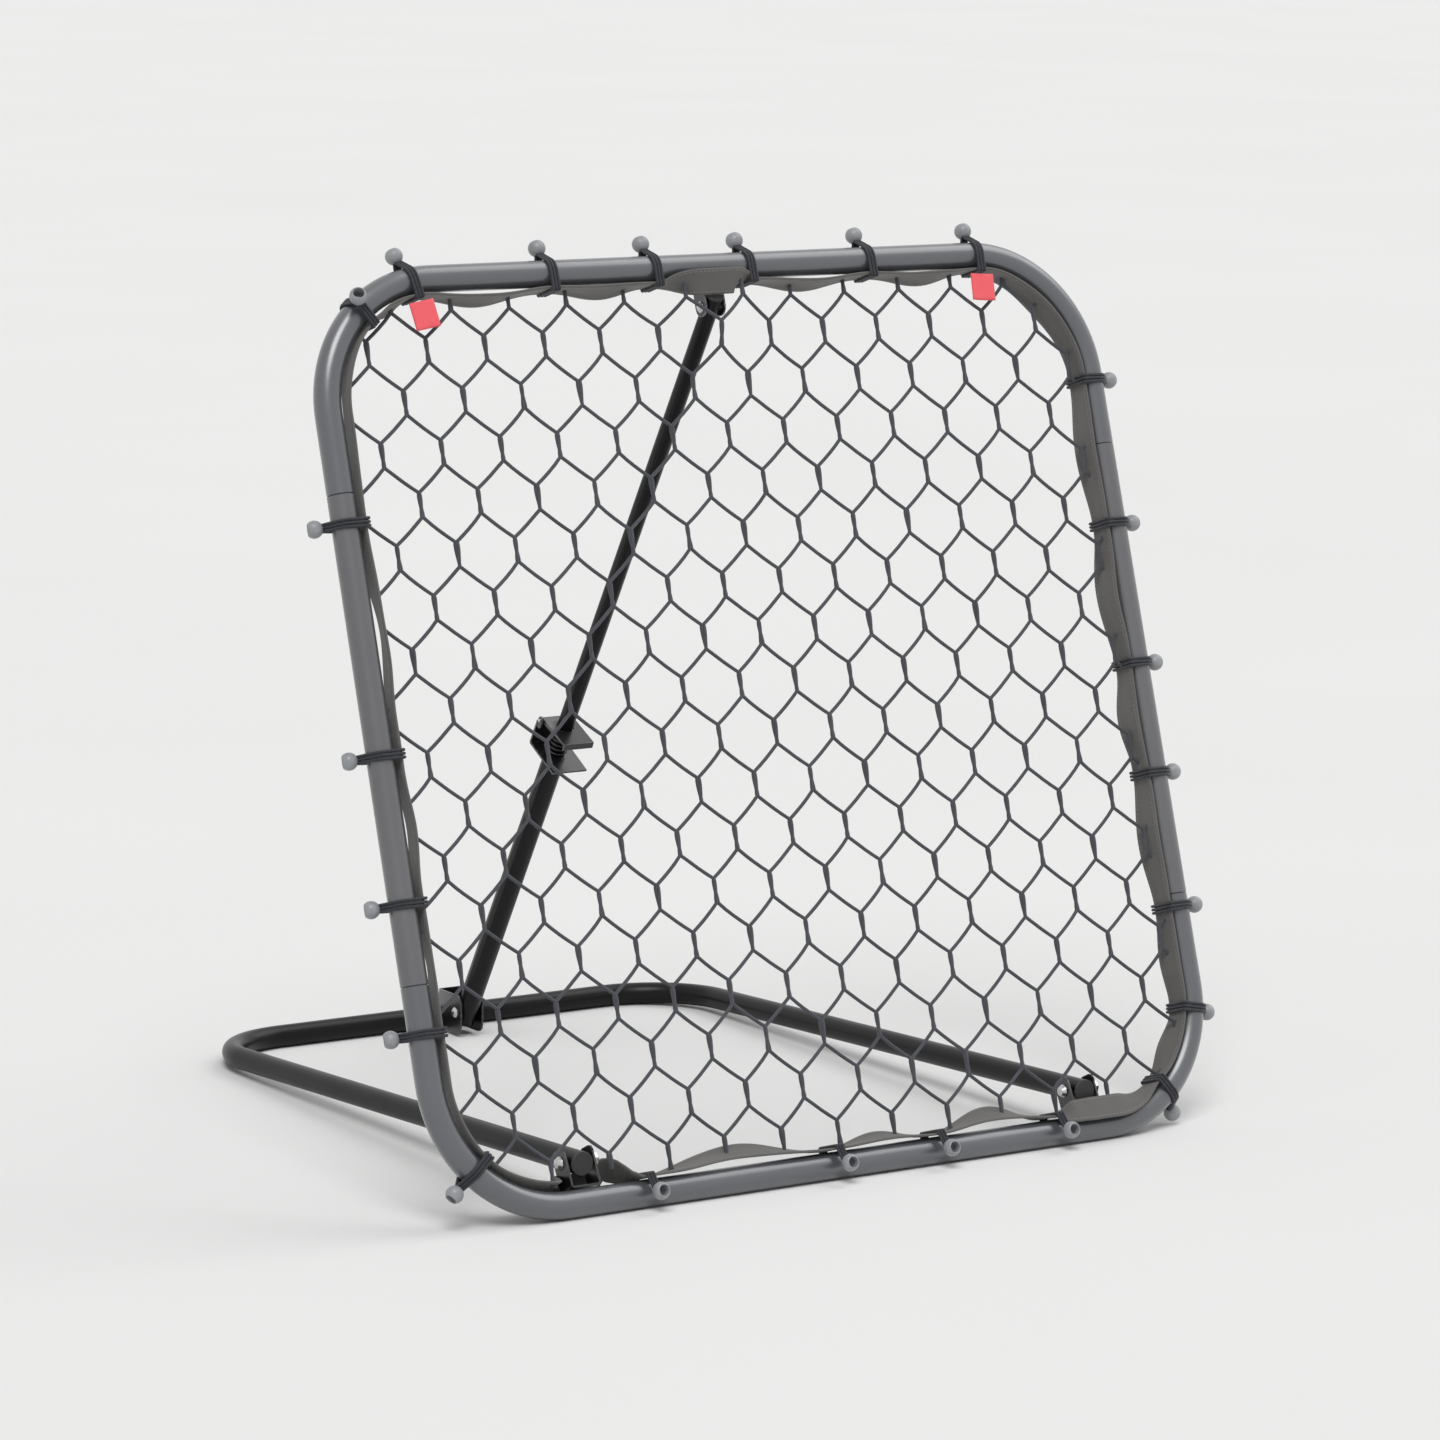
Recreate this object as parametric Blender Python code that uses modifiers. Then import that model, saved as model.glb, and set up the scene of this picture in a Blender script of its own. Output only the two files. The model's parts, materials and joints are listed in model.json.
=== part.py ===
"""Soccer rebounder: a square tube frame with a laced net, which leans on a base and a telescopic strut.

World axes: X across the frame, Y towards the back, Z up. The origin is on the ground, under the middle of the
frame's bottom tube. The frame is drawn in its own plane, as (x, back, up) from the bottom tube's axis.
"""

from math import acos, asin, atan2, ceil, cos, degrees, hypot, pi, radians, sin

import bmesh
import bpy
from mathutils import Matrix, Vector

# Frame of four tubes
FRAME_WIDTH = 0.840
FRAME_HEIGHT = 0.840
FRAME_TUBE = 0.025
FRAME_WALL = 0.0011
FRAME_CORNER = 0.1175
LEAN = radians(17.6)
TOP_SEAM_DROP = 0.198
BOTTOM_SEAM_RISE = 0.215
SPIGOT_LENGTH = 0.035
TUBE_SIDES = 14
BORE_SIDES = 10
CORNER_STEPS = 7

# Base of one tube, on the hinge axis at its front
BASE_HALF_WIDTH = 0.270
BASE_TUBE = 0.022
BASE_WALL = 0.0012
BASE_CORNER = 0.086
BASE_DEPTH = 0.685
ARM_OVERHANG = 0.0105

# Hinge brackets on the bottom tube
BRACKET_TILT = radians(9.8)
ARM_PLAY = 0.0022
BRACKET_DEPTH = 0.021
BRACKET_RISE = 0.049
HINGE_RISE = 0.0379
HINGE_BACK = 0.0048
PLATE = 0.0018
BEND_RADIUS = 0.0028
PLATE_CORNER = 0.005
BOLT_SHANK = 0.006
BOLT_HEAD = 0.013
BOLT_HEAD_HEIGHT = 0.005
NUT_WIDTH = 0.011
NUT_HEIGHT = 0.006
PLUG_RIM = 0.0022
PLUG_INSERT = 0.004
PLUG_EDGE = 0.0006

# Telescopic strut in the middle plane
UPPER_TUBE = 0.016
UPPER_WALL = 0.0012
LOWER_TUBE = 0.022
LOWER_WALL = 0.0012
TOP_PIVOT_DROP = 0.0362
TOP_PIVOT_BACK = 0.0015
TOP_PIVOT_TO_END = 0.010
CHEEK = 0.0016
TOP_CHEEK_PLAY = 0.00115
CHEEK_REACH = 0.009
FOOT_PIVOT_HEIGHT = 0.024
FOOT_PIVOT_AHEAD = 0.045
FOOT_CHEEK_PLAY = 0.0003
FOOT_BRACKET_TOP = 0.042
FOOT_BRACKET_BOTTOM = 0.003
LOWER_TUBE_REACH = 0.3255
LOWER_TUBE_TAIL = 0.011
TUBE_OVERLAP = 0.028
RIVET = 0.006
RIVET_HEAD = 0.011
RIVET_HEAD_HEIGHT = 0.003
BUSH_LENGTH = 0.022
SLIDER_LENGTH = 0.012
MAX_LEAN = radians(45.0)

# Adjuster on top of the lower tube
ADJUSTER_WIDTH = 0.038
ADJUSTER_FRONT = 0.029
ADJUSTER_BACK = 0.020
ADJUSTER_HEIGHT = 0.031
ADJUSTER_PLATE = 0.002
LIP_HEIGHT = 0.0055
LOCK_TILT = radians(5.0)
LOCK_PIN = 0.003
LOCK_EAR = 0.006
EAR_INSET = 0.0004
SPRING_WIRE = 0.0016
SPRING_TURNS = 5
SPRING_POINTS = 8
SPRING_PLAY = 0.0005
SPRING_SLACK = 0.0028

# Net, band, bungees and tags
NET_PITCH = 0.05963
NET_ROW = 0.0452
NET_BAR = 0.0225
NET_BAR_WIDTH = 0.0046
NET_CORD_WIDTH = 0.0032
NET_THICKNESS = 0.003
NET_BAR_X = -0.0026
NET_BAR_UP = 0.119
BAND_WIDTH = 0.025
BAND_THICKNESS = 0.0026
BAND_WAVE = 0.030
BAND_STEP = 0.032
BAND_HELD = 0.0026
BAND_TWIST_STEP = radians(10)
CORD = 0.0034
CORD_STEP = radians(46)
BALL = 0.0158
BALL_LIP = radians(50)
BALL_FLOOR = 0.001
BALL_REACH = 0.0268
BALL_SIDES = 8
TAG_SIZE = 0.025
TAG_THICKNESS = 0.0008

# Clearances
GAP = 0.0003
SLIDE_GAP = 0.0004
HOLE_GAP = 0.0004

# Bungees by where they are: along the top and bottom tubes by x, up the legs by height, round the corners by
# angle from +X. The last value of each row is the ball's turn from outwards towards the front.
TOP_BUNGEES = ((-0.310, -0.168, -0.059, 0.0415, 0.173, 0.295), radians(-20))
LEFT_BUNGEES = ((0.603, 0.401, 0.2725, 0.1605), radians(-25))
RIGHT_BUNGEES = ((0.691, 0.554, 0.421, 0.317, 0.191), radians(-12))
BOTTOM_BUNGEES = ((-0.211, -0.013, 0.097, 0.230), radians(90))
CORNER_BUNGEES = ((130, 60), (221, 0), (306, -24), (349, -20))

# Where the band leaves the frame's plane: (x on the bottom or top tube, inwards, forwards, twist in degrees)
BAND_PAST_LEFT_BRACKET = ((-0.240, 0.026, -0.018, -55), (-0.2575, 0.0142, -0.0265, -85),
                          (-0.2835, 0.0142, -0.0265, -85), (-0.308, 0.0165, -0.006, -20))
BAND_PAST_RIGHT_BRACKET = ((0.250, 0.0165, 0.0125, 52), (0.270, 0.0165, 0.0145, 60), (0.290, 0.0165, 0.0145, 60))
BAND_PAST_TOP_BRACKET = ((-0.020, 0.0165, 0.0165, 60), (0.018, 0.0165, 0.0165, 60))
NET_BULGE = 0.0165
NET_BULGE_HALF_WIDTH = 0.085
NET_BULGE_START = 0.110
NET_BULGE_FULL = 0.045
NET_FREE_INSET = 0.0165


def clear_scene():
    for obj in list(bpy.data.objects):
        bpy.data.objects.remove(obj)


def new_collection(name):
    collection = bpy.data.collections.new(name)
    bpy.context.scene.collection.children.link(collection)
    return collection


clear_scene()
PARTS = new_collection("soccer_rebounder")
CUTTERS = new_collection("cutters")


def material(name, colour, roughness, metallic=0.0):
    made = bpy.data.materials.new(name)
    made.use_nodes = True
    shader = made.node_tree.nodes["Principled BSDF"]
    shader.inputs["Base Color"].default_value = (*colour, 1)
    shader.inputs["Roughness"].default_value = roughness
    shader.inputs["Metallic"].default_value = metallic
    return made


FRAME_PAINT = material("frame_paint", (0.13, 0.13, 0.14), 0.35)
BLACK_PAINT = material("black_paint", (0.012, 0.012, 0.012), 0.45)
ZINC = material("zinc", (0.55, 0.55, 0.56), 0.3, 1.0)
PLASTIC = material("grey_plastic", (0.03, 0.03, 0.028), 0.6)
NET_CORD = material("net_cord", (0.07, 0.08, 0.095), 0.8)
WEBBING = material("webbing", (0.16, 0.15, 0.14), 0.85)
BALL_PLASTIC = material("ball_plastic", (0.45, 0.46, 0.47), 0.4)
TAG_RED = material("tag_red", (0.9, 0.12, 0.13), 0.7)


def empty(name, parent=None, location=(0, 0, 0), turn_x=0.0):
    made = bpy.data.objects.new(name, None)
    PARTS.objects.link(made)
    made.parent = parent
    made.location = location
    made.rotation_euler = (turn_x, 0, 0)
    return made


def add_mesh_object(name, mesh, paint, parent=None, location=(0, 0, 0), rotation=(0, 0, 0), collection=None):
    made = bpy.data.objects.new(name, mesh)
    (collection or PARTS).objects.link(made)
    made.parent = parent
    made.location = location
    made.rotation_euler = rotation
    if paint:
        mesh.materials.clear()
        mesh.materials.append(paint)
    return made


def smooth(mesh, angle=35):
    mesh.shade_smooth()
    mesh.set_sharp_from_angle(angle=radians(angle))


def welded(obj, name):
    """The evaluated mesh of an object, with its loose caps welded on. The object itself is removed."""
    bpy.context.view_layer.update()
    graph = bpy.context.evaluated_depsgraph_get()
    mesh = bpy.data.meshes.new_from_object(obj.evaluated_get(graph))
    work = bmesh.new()
    work.from_mesh(mesh)
    bmesh.ops.remove_doubles(work, verts=work.verts, dist=2e-5)
    bmesh.ops.recalc_face_normals(work, faces=work.faces)
    work.to_mesh(mesh)
    work.free()
    mesh.name = name
    bpy.data.objects.remove(obj)
    return mesh


def tube_mesh(name, points, radius, sides, tilt=0.0):
    """A round bar along straight stretches between points, with filled ends."""
    curve = bpy.data.curves.new(name, "CURVE")
    curve.dimensions = "3D"
    curve.twist_mode = "Z_UP"
    curve.bevel_depth = radius
    curve.bevel_resolution = (sides - 4) // 2
    curve.use_fill_caps = True
    spline = curve.splines.new("POLY")
    spline.points.add(len(points) - 1)
    for target, point in zip(spline.points, points):
        target.co = (*point, 1)
        target.tilt = tilt
    obj = bpy.data.objects.new(name, curve)
    PARTS.objects.link(obj)
    return welded(obj, name)


def outline_mesh(name, outlines, thickness):
    """A flat plate in XY, from closed outlines: the first is the edge and the rest are holes."""
    curve = bpy.data.curves.new(name, "CURVE")
    curve.dimensions = "2D"
    curve.fill_mode = "BOTH"
    curve.extrude = thickness / 2
    for outline in outlines:
        spline = curve.splines.new("POLY")
        spline.points.add(len(outline) - 1)
        for target, point in zip(spline.points, outline):
            target.co = (point[0], point[1], 0, 1)
        spline.use_cyclic_u = True
    obj = bpy.data.objects.new(name, curve)
    PARTS.objects.link(obj)
    return welded(obj, name)


def turned_mesh(name, profile, sides):
    """A solid turned about Z. The profile runs down the outer side as (radius, height) and starts on the axis,
    or closes on itself when the solid has a bore."""
    bored = profile[0][0] > 0
    mesh = bpy.data.meshes.new(name)
    edges = [(i, i + 1) for i in range(len(profile) - 1)]
    if bored:
        edges.append((len(profile) - 1, 0))
    mesh.from_pydata([(r, 0, z) for r, z in profile], edges, [])
    obj = bpy.data.objects.new(name, mesh)
    PARTS.objects.link(obj)
    screw = obj.modifiers.new("turn", "SCREW")
    screw.steps = sides
    screw.render_steps = sides
    screw.use_merge_vertices = True
    screw.merge_threshold = 0.00001
    return welded(obj, name)


def cylinder_mesh(name, radius, length, sides):
    mesh = bpy.data.meshes.new(name)
    work = bmesh.new()
    bmesh.ops.create_cone(work, cap_ends=True, segments=sides, radius1=radius, radius2=radius, depth=length)
    work.to_mesh(mesh)
    work.free()
    return mesh


def cutter(name, mesh, parent, location=(0, 0, 0), rotation=(0, 0, 0)):
    made = add_mesh_object(name, mesh, None, parent, location, rotation, CUTTERS)
    made.hide_render = True
    made.display_type = "WIRE"
    return made


def combine(obj, other, operation="DIFFERENCE", solver="EXACT"):
    modifier = obj.modifiers.new(other.name, "BOOLEAN")
    modifier.operation = operation
    modifier.object = other
    modifier.solver = solver
    return obj


def cross_hole(obj, radius, length, parent, location):
    """Drills a hole along X."""
    drill = cylinder_mesh(obj.name + "_drill", radius, length, 12)
    place = cutter(obj.name + "_drill", drill, parent, location, (0, pi / 2, 0))
    return combine(obj, place)


def arc(centre, radius, start, end, steps):
    """Points on an arc, from angle start to angle end in radians, both included."""
    return [(centre[0] + radius * cos(start + (end - start) * i / steps),
             centre[1] + radius * sin(start + (end - start) * i / steps)) for i in range(steps + 1)]


def rounded_rectangle(left, right, low, high, radius, steps=2):
    return (arc((right - radius, low + radius), radius, -pi / 2, 0, steps)
            + arc((right - radius, high - radius), radius, 0, pi / 2, steps)
            + arc((left + radius, high - radius), radius, pi / 2, pi, steps)
            + arc((left + radius, low + radius), radius, pi, 3 * pi / 2, steps))


def channel_outline(width, height, wall, bend, steps=2):
    """A U open upwards, with its web's outer face on y = 0."""
    half = width / 2
    inner = bend - wall
    outer_side = arc((-half + bend, bend), bend, pi, 3 * pi / 2, steps)
    outer_side += arc((half - bend, bend), bend, -pi / 2, 0, steps)
    inner_side = arc((half - bend, bend), inner, 0, -pi / 2, steps)
    inner_side += arc((-half + bend, bend), inner, 3 * pi / 2, pi, steps)
    return ([(-half, height)] + outer_side + [(half, height), (half - wall, height)]
            + inner_side + [(-half + wall, height)])


def polar(radius, angle):
    return (radius * cos(angle), radius * sin(angle))


# Places that several pieces share

HALF_X = (FRAME_WIDTH - FRAME_TUBE) / 2
FRAME_UP = FRAME_HEIGHT - FRAME_TUBE
FRAME_RADIUS = FRAME_TUBE / 2
STRAIGHT_X = HALF_X - FRAME_CORNER
BRACKET_WIDTH = BASE_TUBE + 2 * (PLATE + ARM_PLAY)
TOP_BRACKET_WIDTH = UPPER_TUBE + 2 * (CHEEK + TOP_CHEEK_PLAY)
FOOT_BRACKET_WIDTH = LOWER_TUBE + 2 * (CHEEK + FOOT_CHEEK_PLAY)
CORNER_ARC = FRAME_CORNER * pi / 2

# The hinge axis, from the bottom tube's axis in the frame's plane
PIVOT_BACK = HINGE_BACK * cos(BRACKET_TILT) + HINGE_RISE * sin(BRACKET_TILT)
PIVOT_UP = HINGE_RISE * cos(BRACKET_TILT) - HINGE_BACK * sin(BRACKET_TILT)


def frame_to_world(back, up):
    """(y, z) of a point of the frame's plane at rest."""
    return (up * sin(LEAN) + back * cos(LEAN), FRAME_RADIUS * cos_of_facet() + up * cos(LEAN) - back * sin(LEAN))


def cos_of_facet():
    """How far a facet of the frame tube lies from the axis, as a share of the tube's radius."""
    return cos(pi / TUBE_SIDES)


HINGE = frame_to_world(PIVOT_BACK, PIVOT_UP)
BASE_RADIUS = BASE_TUBE / 2
BASE_SLOPE = asin((HINGE[1] - BASE_RADIUS * cos_of_facet()) / BASE_DEPTH)
BACK_BAR_Y = HINGE[0] + BASE_DEPTH * cos(BASE_SLOPE)
FOOT = (BACK_BAR_Y - FOOT_PIVOT_AHEAD, FOOT_PIVOT_HEIGHT)
TOP_PIVOT_UP = FRAME_UP - TOP_PIVOT_DROP
TOP = frame_to_world(TOP_PIVOT_BACK, TOP_PIVOT_UP)
STRUT_LENGTH = hypot(FOOT[0] - TOP[0], TOP[1] - FOOT[1])
STRUT_LEAN = asin((FOOT[0] - TOP[0]) / STRUT_LENGTH)


def strut_at(lean):
    """(length, lean) of the strut when the frame leans by this angle."""
    turn = lean - LEAN
    y, z = TOP[0] - HINGE[0], TOP[1] - HINGE[1]
    top_y = HINGE[0] + y * cos(turn) + z * sin(turn)
    top_z = HINGE[1] - y * sin(turn) + z * cos(turn)
    length = hypot(FOOT[0] - top_y, top_z - FOOT[1])
    return length, asin((FOOT[0] - top_y) / length)


SHORT_LENGTH, SHORT_LEAN = strut_at(MAX_LEAN)
STRUT_TRAVEL = STRUT_LENGTH - SHORT_LENGTH
# The strut keeps a constant ratio to the frame's lean, so half way its foot misses the pivot by a little.
HALF_LENGTH, HALF_LEAN = strut_at((LEAN + MAX_LEAN) / 2)
MISS_ALONG = abs(HALF_LENGTH - (STRUT_LENGTH + SHORT_LENGTH) / 2)
MISS_ACROSS = abs(HALF_LEAN - (STRUT_LEAN + SHORT_LEAN) / 2) * HALF_LENGTH

BASE = empty("base", None, (0, HINGE[0], HINGE[1]), -BASE_SLOPE)
GROUND = empty("ground")
FRAME_LEAN = empty("frame_lean", None, (0, HINGE[0], HINGE[1]), -LEAN)
FRAME = empty("frame_plane", FRAME_LEAN, (0, -PIVOT_BACK, -PIVOT_UP))
STRUT = empty("strut_swing", FRAME, (0, TOP_PIVOT_BACK, TOP_PIVOT_UP), STRUT_LEAN + LEAN)
LOWER_TOP = -(STRUT_LENGTH - LOWER_TUBE_REACH)
SLIDE = empty("strut_slide", STRUT, (0, 0, LOWER_TOP))


# Tubes of the frame

def facet_tilt(angle):
    """The tilt that turns a facet of a bent tube to this angle from the outer side of its bends."""
    step = 2 * pi / TUBE_SIDES
    return (angle - step / 2) % step


def hollow_tube(name, path, diameter, wall, paint, parent, rotation, tilt, bore_extra=0.002):
    """A bent tube, open at both ends, along points of its own XY plane."""
    points = [Vector((x, y, 0)) for x, y in path]
    obj = add_mesh_object(name, tube_mesh(name, points, diameter / 2, TUBE_SIDES, tilt=tilt), paint, parent,
                          (0, 0, 0), rotation)
    first = points[0] + (points[0] - points[1]).normalized() * bore_extra
    last = points[-1] + (points[-1] - points[-2]).normalized() * bore_extra
    bore = tube_mesh(name + "_bore", [first] + points[1:-1] + [last], diameter / 2 - wall, BORE_SIDES, tilt=tilt)
    combine(obj, cutter(name + "_bore", bore, parent, (0, 0, 0), rotation))
    smooth(obj.data)
    return obj


def frame_tubes():
    steps = CORNER_STEPS
    right, left = STRAIGHT_X, -STRAIGHT_X
    top_arc_up, low_arc_up = FRAME_UP - FRAME_CORNER, FRAME_CORNER
    seam_top = FRAME_HEIGHT - FRAME_RADIUS - TOP_SEAM_DROP
    seam_low = BOTTOM_SEAM_RISE - FRAME_RADIUS
    top = ([(HALF_X, seam_top)] + arc((right, top_arc_up), FRAME_CORNER, 0, pi / 2, steps)
           + arc((left, top_arc_up), FRAME_CORNER, pi / 2, pi, steps) + [(-HALF_X, seam_top)])
    low = ([(-HALF_X, seam_low)] + arc((left, low_arc_up), FRAME_CORNER, pi, 3 * pi / 2, steps)
           + [(left + FRAME_TUBE, 0), (right - FRAME_TUBE, 0)]
           + arc((right, low_arc_up), FRAME_CORNER, -pi / 2, 0, steps) + [(HALF_X, seam_low)])
    facet_turn = facet_tilt(LEAN)
    for name, path in (("frame_top_tube", top), ("frame_bottom_tube", low)):
        hollow_tube(name, path, FRAME_TUBE, FRAME_WALL, FRAME_PAINT, FRAME, (pi / 2, 0, 0), facet_turn)
    low_end, high_end = seam_low + GAP, seam_top - GAP
    bore_radius = (FRAME_RADIUS - FRAME_WALL) * cos(pi / BORE_SIDES)
    spigot = bore_radius - GAP
    chamfer = 0.001
    inner = spigot - FRAME_WALL
    profile = [(inner, high_end + SPIGOT_LENGTH), (spigot - chamfer, high_end + SPIGOT_LENGTH),
               (spigot, high_end + SPIGOT_LENGTH - chamfer), (spigot, high_end), (FRAME_RADIUS, high_end),
               (FRAME_RADIUS, low_end), (spigot, low_end), (spigot, low_end - SPIGOT_LENGTH + chamfer),
               (spigot - chamfer, low_end - SPIGOT_LENGTH), (inner, low_end - SPIGOT_LENGTH)]
    mesh = turned_mesh("leg", profile, TUBE_SIDES)
    mesh.transform(Matrix.Rotation(pi / TUBE_SIDES, 4, "Z"))
    smooth(mesh)
    for name, x in (("frame_left_tube", -HALF_X), ("frame_right_tube", HALF_X)):
        add_mesh_object(name, mesh, FRAME_PAINT, FRAME, (x, 0, 0))


# Base and hinges

def base_tube():
    steps = CORNER_STEPS
    inner = BASE_HALF_WIDTH - BASE_CORNER
    bend = BASE_DEPTH - BASE_CORNER
    path = ([(BASE_HALF_WIDTH, -ARM_OVERHANG)] + arc((inner, bend), BASE_CORNER, 0, pi / 2, steps)
            + arc((-inner, bend), BASE_CORNER, pi / 2, pi, steps) + [(-BASE_HALF_WIDTH, -ARM_OVERHANG)])
    facet_turn = facet_tilt(pi / 2 - BASE_SLOPE)
    tube = hollow_tube("base_tube", path, BASE_TUBE, BASE_WALL, BLACK_PAINT, BASE, (0, 0, 0), facet_turn)
    for x in (-BASE_HALF_WIDTH, BASE_HALF_WIDTH):
        cross_hole(tube, BOLT_SHANK / 2 + HOLE_GAP, BASE_TUBE + 0.004, BASE, (x, 0, 0))


def end_plug(name, tube, wall, paint, parent, location, rotation):
    """A cap on a tube's end: a rim outside and a short insert. Its axis is +Z, out of the tube."""
    rim = tube / 2
    insert = (tube / 2 - wall) * cos(pi / BORE_SIDES) - GAP
    top = PLUG_RIM + GAP
    profile = [(0, top), (rim - PLUG_EDGE, top), (rim, top - PLUG_EDGE), (rim, GAP), (insert, GAP),
               (insert, -PLUG_INSERT), (0, -PLUG_INSERT)]
    mesh = turned_mesh(name, profile, TUBE_SIDES)
    smooth(mesh)
    return add_mesh_object(name, mesh, paint, parent, location, rotation)


def hinge_bracket(name, x):
    """A U channel welded on the bottom tube, open upwards. It leans back more than the frame does."""
    height = BRACKET_RISE - FRAME_RADIUS
    outline = channel_outline(BRACKET_WIDTH, height, PLATE, BEND_RADIUS)
    mesh = outline_mesh(name, [outline], BRACKET_DEPTH)
    mesh.transform(Matrix.Rotation(pi / 2, 4, "X"))
    foot = FRAME_RADIUS + GAP
    seat = empty(name + "_seat", FRAME, (x, 0, 0), -BRACKET_TILT)
    obj = add_mesh_object(name, mesh, BLACK_PAINT, seat, (0, HINGE_BACK, foot))
    side = rounded_rectangle(-BRACKET_DEPTH / 2, BRACKET_DEPTH / 2, -PLATE_CORNER - 0.001, height, PLATE_CORNER)
    blank = outline_mesh(name + "_side", [side], BRACKET_WIDTH + 0.002)
    blank.transform(Matrix.Rotation(pi / 2, 4, "Z") @ Matrix.Rotation(pi / 2, 4, "X"))
    combine(obj, cutter(name + "_side", blank, seat, (0, HINGE_BACK, foot)), "INTERSECT")
    cross_hole(obj, BOLT_SHANK / 2 + HOLE_GAP, BRACKET_WIDTH + 0.004, seat, (0, HINGE_BACK, HINGE_RISE))


def dome(radius, height, base, steps=2):
    """Half a domed head's profile, from the axis down to its flat side at the height base."""
    crown = (radius * radius + height * height) / (2 * height)
    start = asin(radius / crown)
    return [(crown * sin(start * i / steps), base + height - crown + crown * cos(start * i / steps))
            for i in range(steps + 1)]


def hinge_bolt(name, x):
    grip = BRACKET_WIDTH / 2 + GAP
    tail = grip + NUT_HEIGHT + GAP + 0.002
    radius = BOLT_SHANK / 2
    profile = dome(BOLT_HEAD / 2, BOLT_HEAD_HEIGHT, grip)
    profile += [(radius, grip), (radius, -tail + 0.0006), (radius - 0.0006, -tail), (0, -tail)]
    mesh = turned_mesh(name, profile, 10)
    smooth(mesh)
    add_mesh_object(name, mesh, ZINC, FRAME, (x, PIVOT_BACK, PIVOT_UP), (0, -pi / 2, 0))
    side = name.replace("bolt", "nut")
    nut = add_mesh_object(side, cylinder_mesh(side, NUT_WIDTH / 2 / cos(pi / 6), NUT_HEIGHT, 6), ZINC, FRAME,
                          (x + grip + NUT_HEIGHT / 2, PIVOT_BACK, PIVOT_UP), (0, pi / 2, 0))
    cross_hole(nut, radius + GAP, NUT_HEIGHT + 0.002, FRAME, (x + grip + NUT_HEIGHT / 2, PIVOT_BACK, PIVOT_UP))


def hinges():
    for side, x in (("left", -BASE_HALF_WIDTH), ("right", BASE_HALF_WIDTH)):
        hinge_bracket("hinge_bracket_" + side, x)
        hinge_bolt("hinge_bolt_" + side, x)
        end_plug("arm_plug_" + side, BASE_TUBE, BASE_WALL, PLASTIC, BASE, (x, -ARM_OVERHANG, 0), (pi / 2, 0, 0))


# Strut

def straight_tube(name, diameter, wall, low, high, paint, parent):
    outer, bore = diameter / 2, diameter / 2 - wall
    profile = [(bore, high), (outer, high), (outer, low), (bore, low)]
    mesh = turned_mesh(name, profile, TUBE_SIDES)
    smooth(mesh)
    return add_mesh_object(name, mesh, paint, parent)


def upper_strut():
    low = LOWER_TOP - TUBE_OVERLAP
    tube = straight_tube("strut_upper_tube", UPPER_TUBE, UPPER_WALL, low, TOP_PIVOT_TO_END, BLACK_PAINT, STRUT)
    cross_hole(tube, RIVET / 2 + HOLE_GAP, UPPER_TUBE + 0.004, STRUT, (0, 0, 0))
    end_plug("strut_upper_plug", UPPER_TUBE, UPPER_WALL, PLASTIC, STRUT, (0, 0, TOP_PIVOT_TO_END), (0, 0, 0))
    rim = (LOWER_TUBE / 2 - LOWER_WALL) * cos_of_facet() - SLIDE_GAP
    insert = (UPPER_TUBE / 2 - UPPER_WALL) * cos_of_facet() - GAP
    shoulder = low - GAP
    profile = [(0, shoulder + SLIDER_LENGTH), (insert, shoulder + SLIDER_LENGTH), (insert, shoulder),
               (rim, shoulder), (rim, shoulder - SLIDER_LENGTH), (0, shoulder - SLIDER_LENGTH)]
    mesh = turned_mesh("strut_inner_slider", profile, TUBE_SIDES)
    smooth(mesh)
    add_mesh_object("strut_inner_slider", mesh, PLASTIC, STRUT)


def rivet(name, width, parent, location):
    """A rivet along X through two cheeks, with a domed head on each side."""
    half, radius = width / 2 + GAP, RIVET / 2
    head = dome(RIVET_HEAD / 2, RIVET_HEAD_HEIGHT, half)
    profile = head + [(radius, half), (radius, -half)] + [(r, -z) for r, z in reversed(head)]
    mesh = turned_mesh(name, profile, 10)
    smooth(mesh)
    add_mesh_object(name, mesh, ZINC, parent, location, (0, pi / 2, 0))


def strut_top_bracket():
    """A U channel under the top tube, open downwards, with the strut's end between its cheeks."""
    name = "strut_top_bracket"
    web_up = FRAME_UP - FRAME_RADIUS - GAP
    height = web_up - (TOP_PIVOT_UP - CHEEK_REACH)
    mesh = outline_mesh(name, [channel_outline(TOP_BRACKET_WIDTH, height, CHEEK, BEND_RADIUS)], 2 * CHEEK_REACH)
    mesh.transform(Matrix.Rotation(-pi / 2, 4, "X"))
    obj = add_mesh_object(name, mesh, BLACK_PAINT, FRAME, (0, TOP_PIVOT_BACK, web_up))
    side = rounded_rectangle(-CHEEK_REACH, CHEEK_REACH, -height, CHEEK_REACH + 0.001, CHEEK_REACH - 0.0005, 3)
    blank = outline_mesh(name + "_side", [side], TOP_BRACKET_WIDTH + 0.002)
    blank.transform(Matrix.Rotation(pi / 2, 4, "Z") @ Matrix.Rotation(pi / 2, 4, "X"))
    combine(obj, cutter(name + "_side", blank, FRAME, (0, TOP_PIVOT_BACK, web_up)), "INTERSECT")
    place = (0, TOP_PIVOT_BACK, TOP_PIVOT_UP)
    cross_hole(obj, RIVET / 2 + HOLE_GAP, TOP_BRACKET_WIDTH + 0.004, FRAME, place)
    rivet("strut_top_rivet", TOP_BRACKET_WIDTH, FRAME, place)


def slot_outline(radius, half_travel, steps=6):
    return (arc((half_travel, 0), radius, -pi / 2, pi / 2, steps)
            + arc((-half_travel, 0), radius, pi / 2, 3 * pi / 2, steps))


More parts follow.
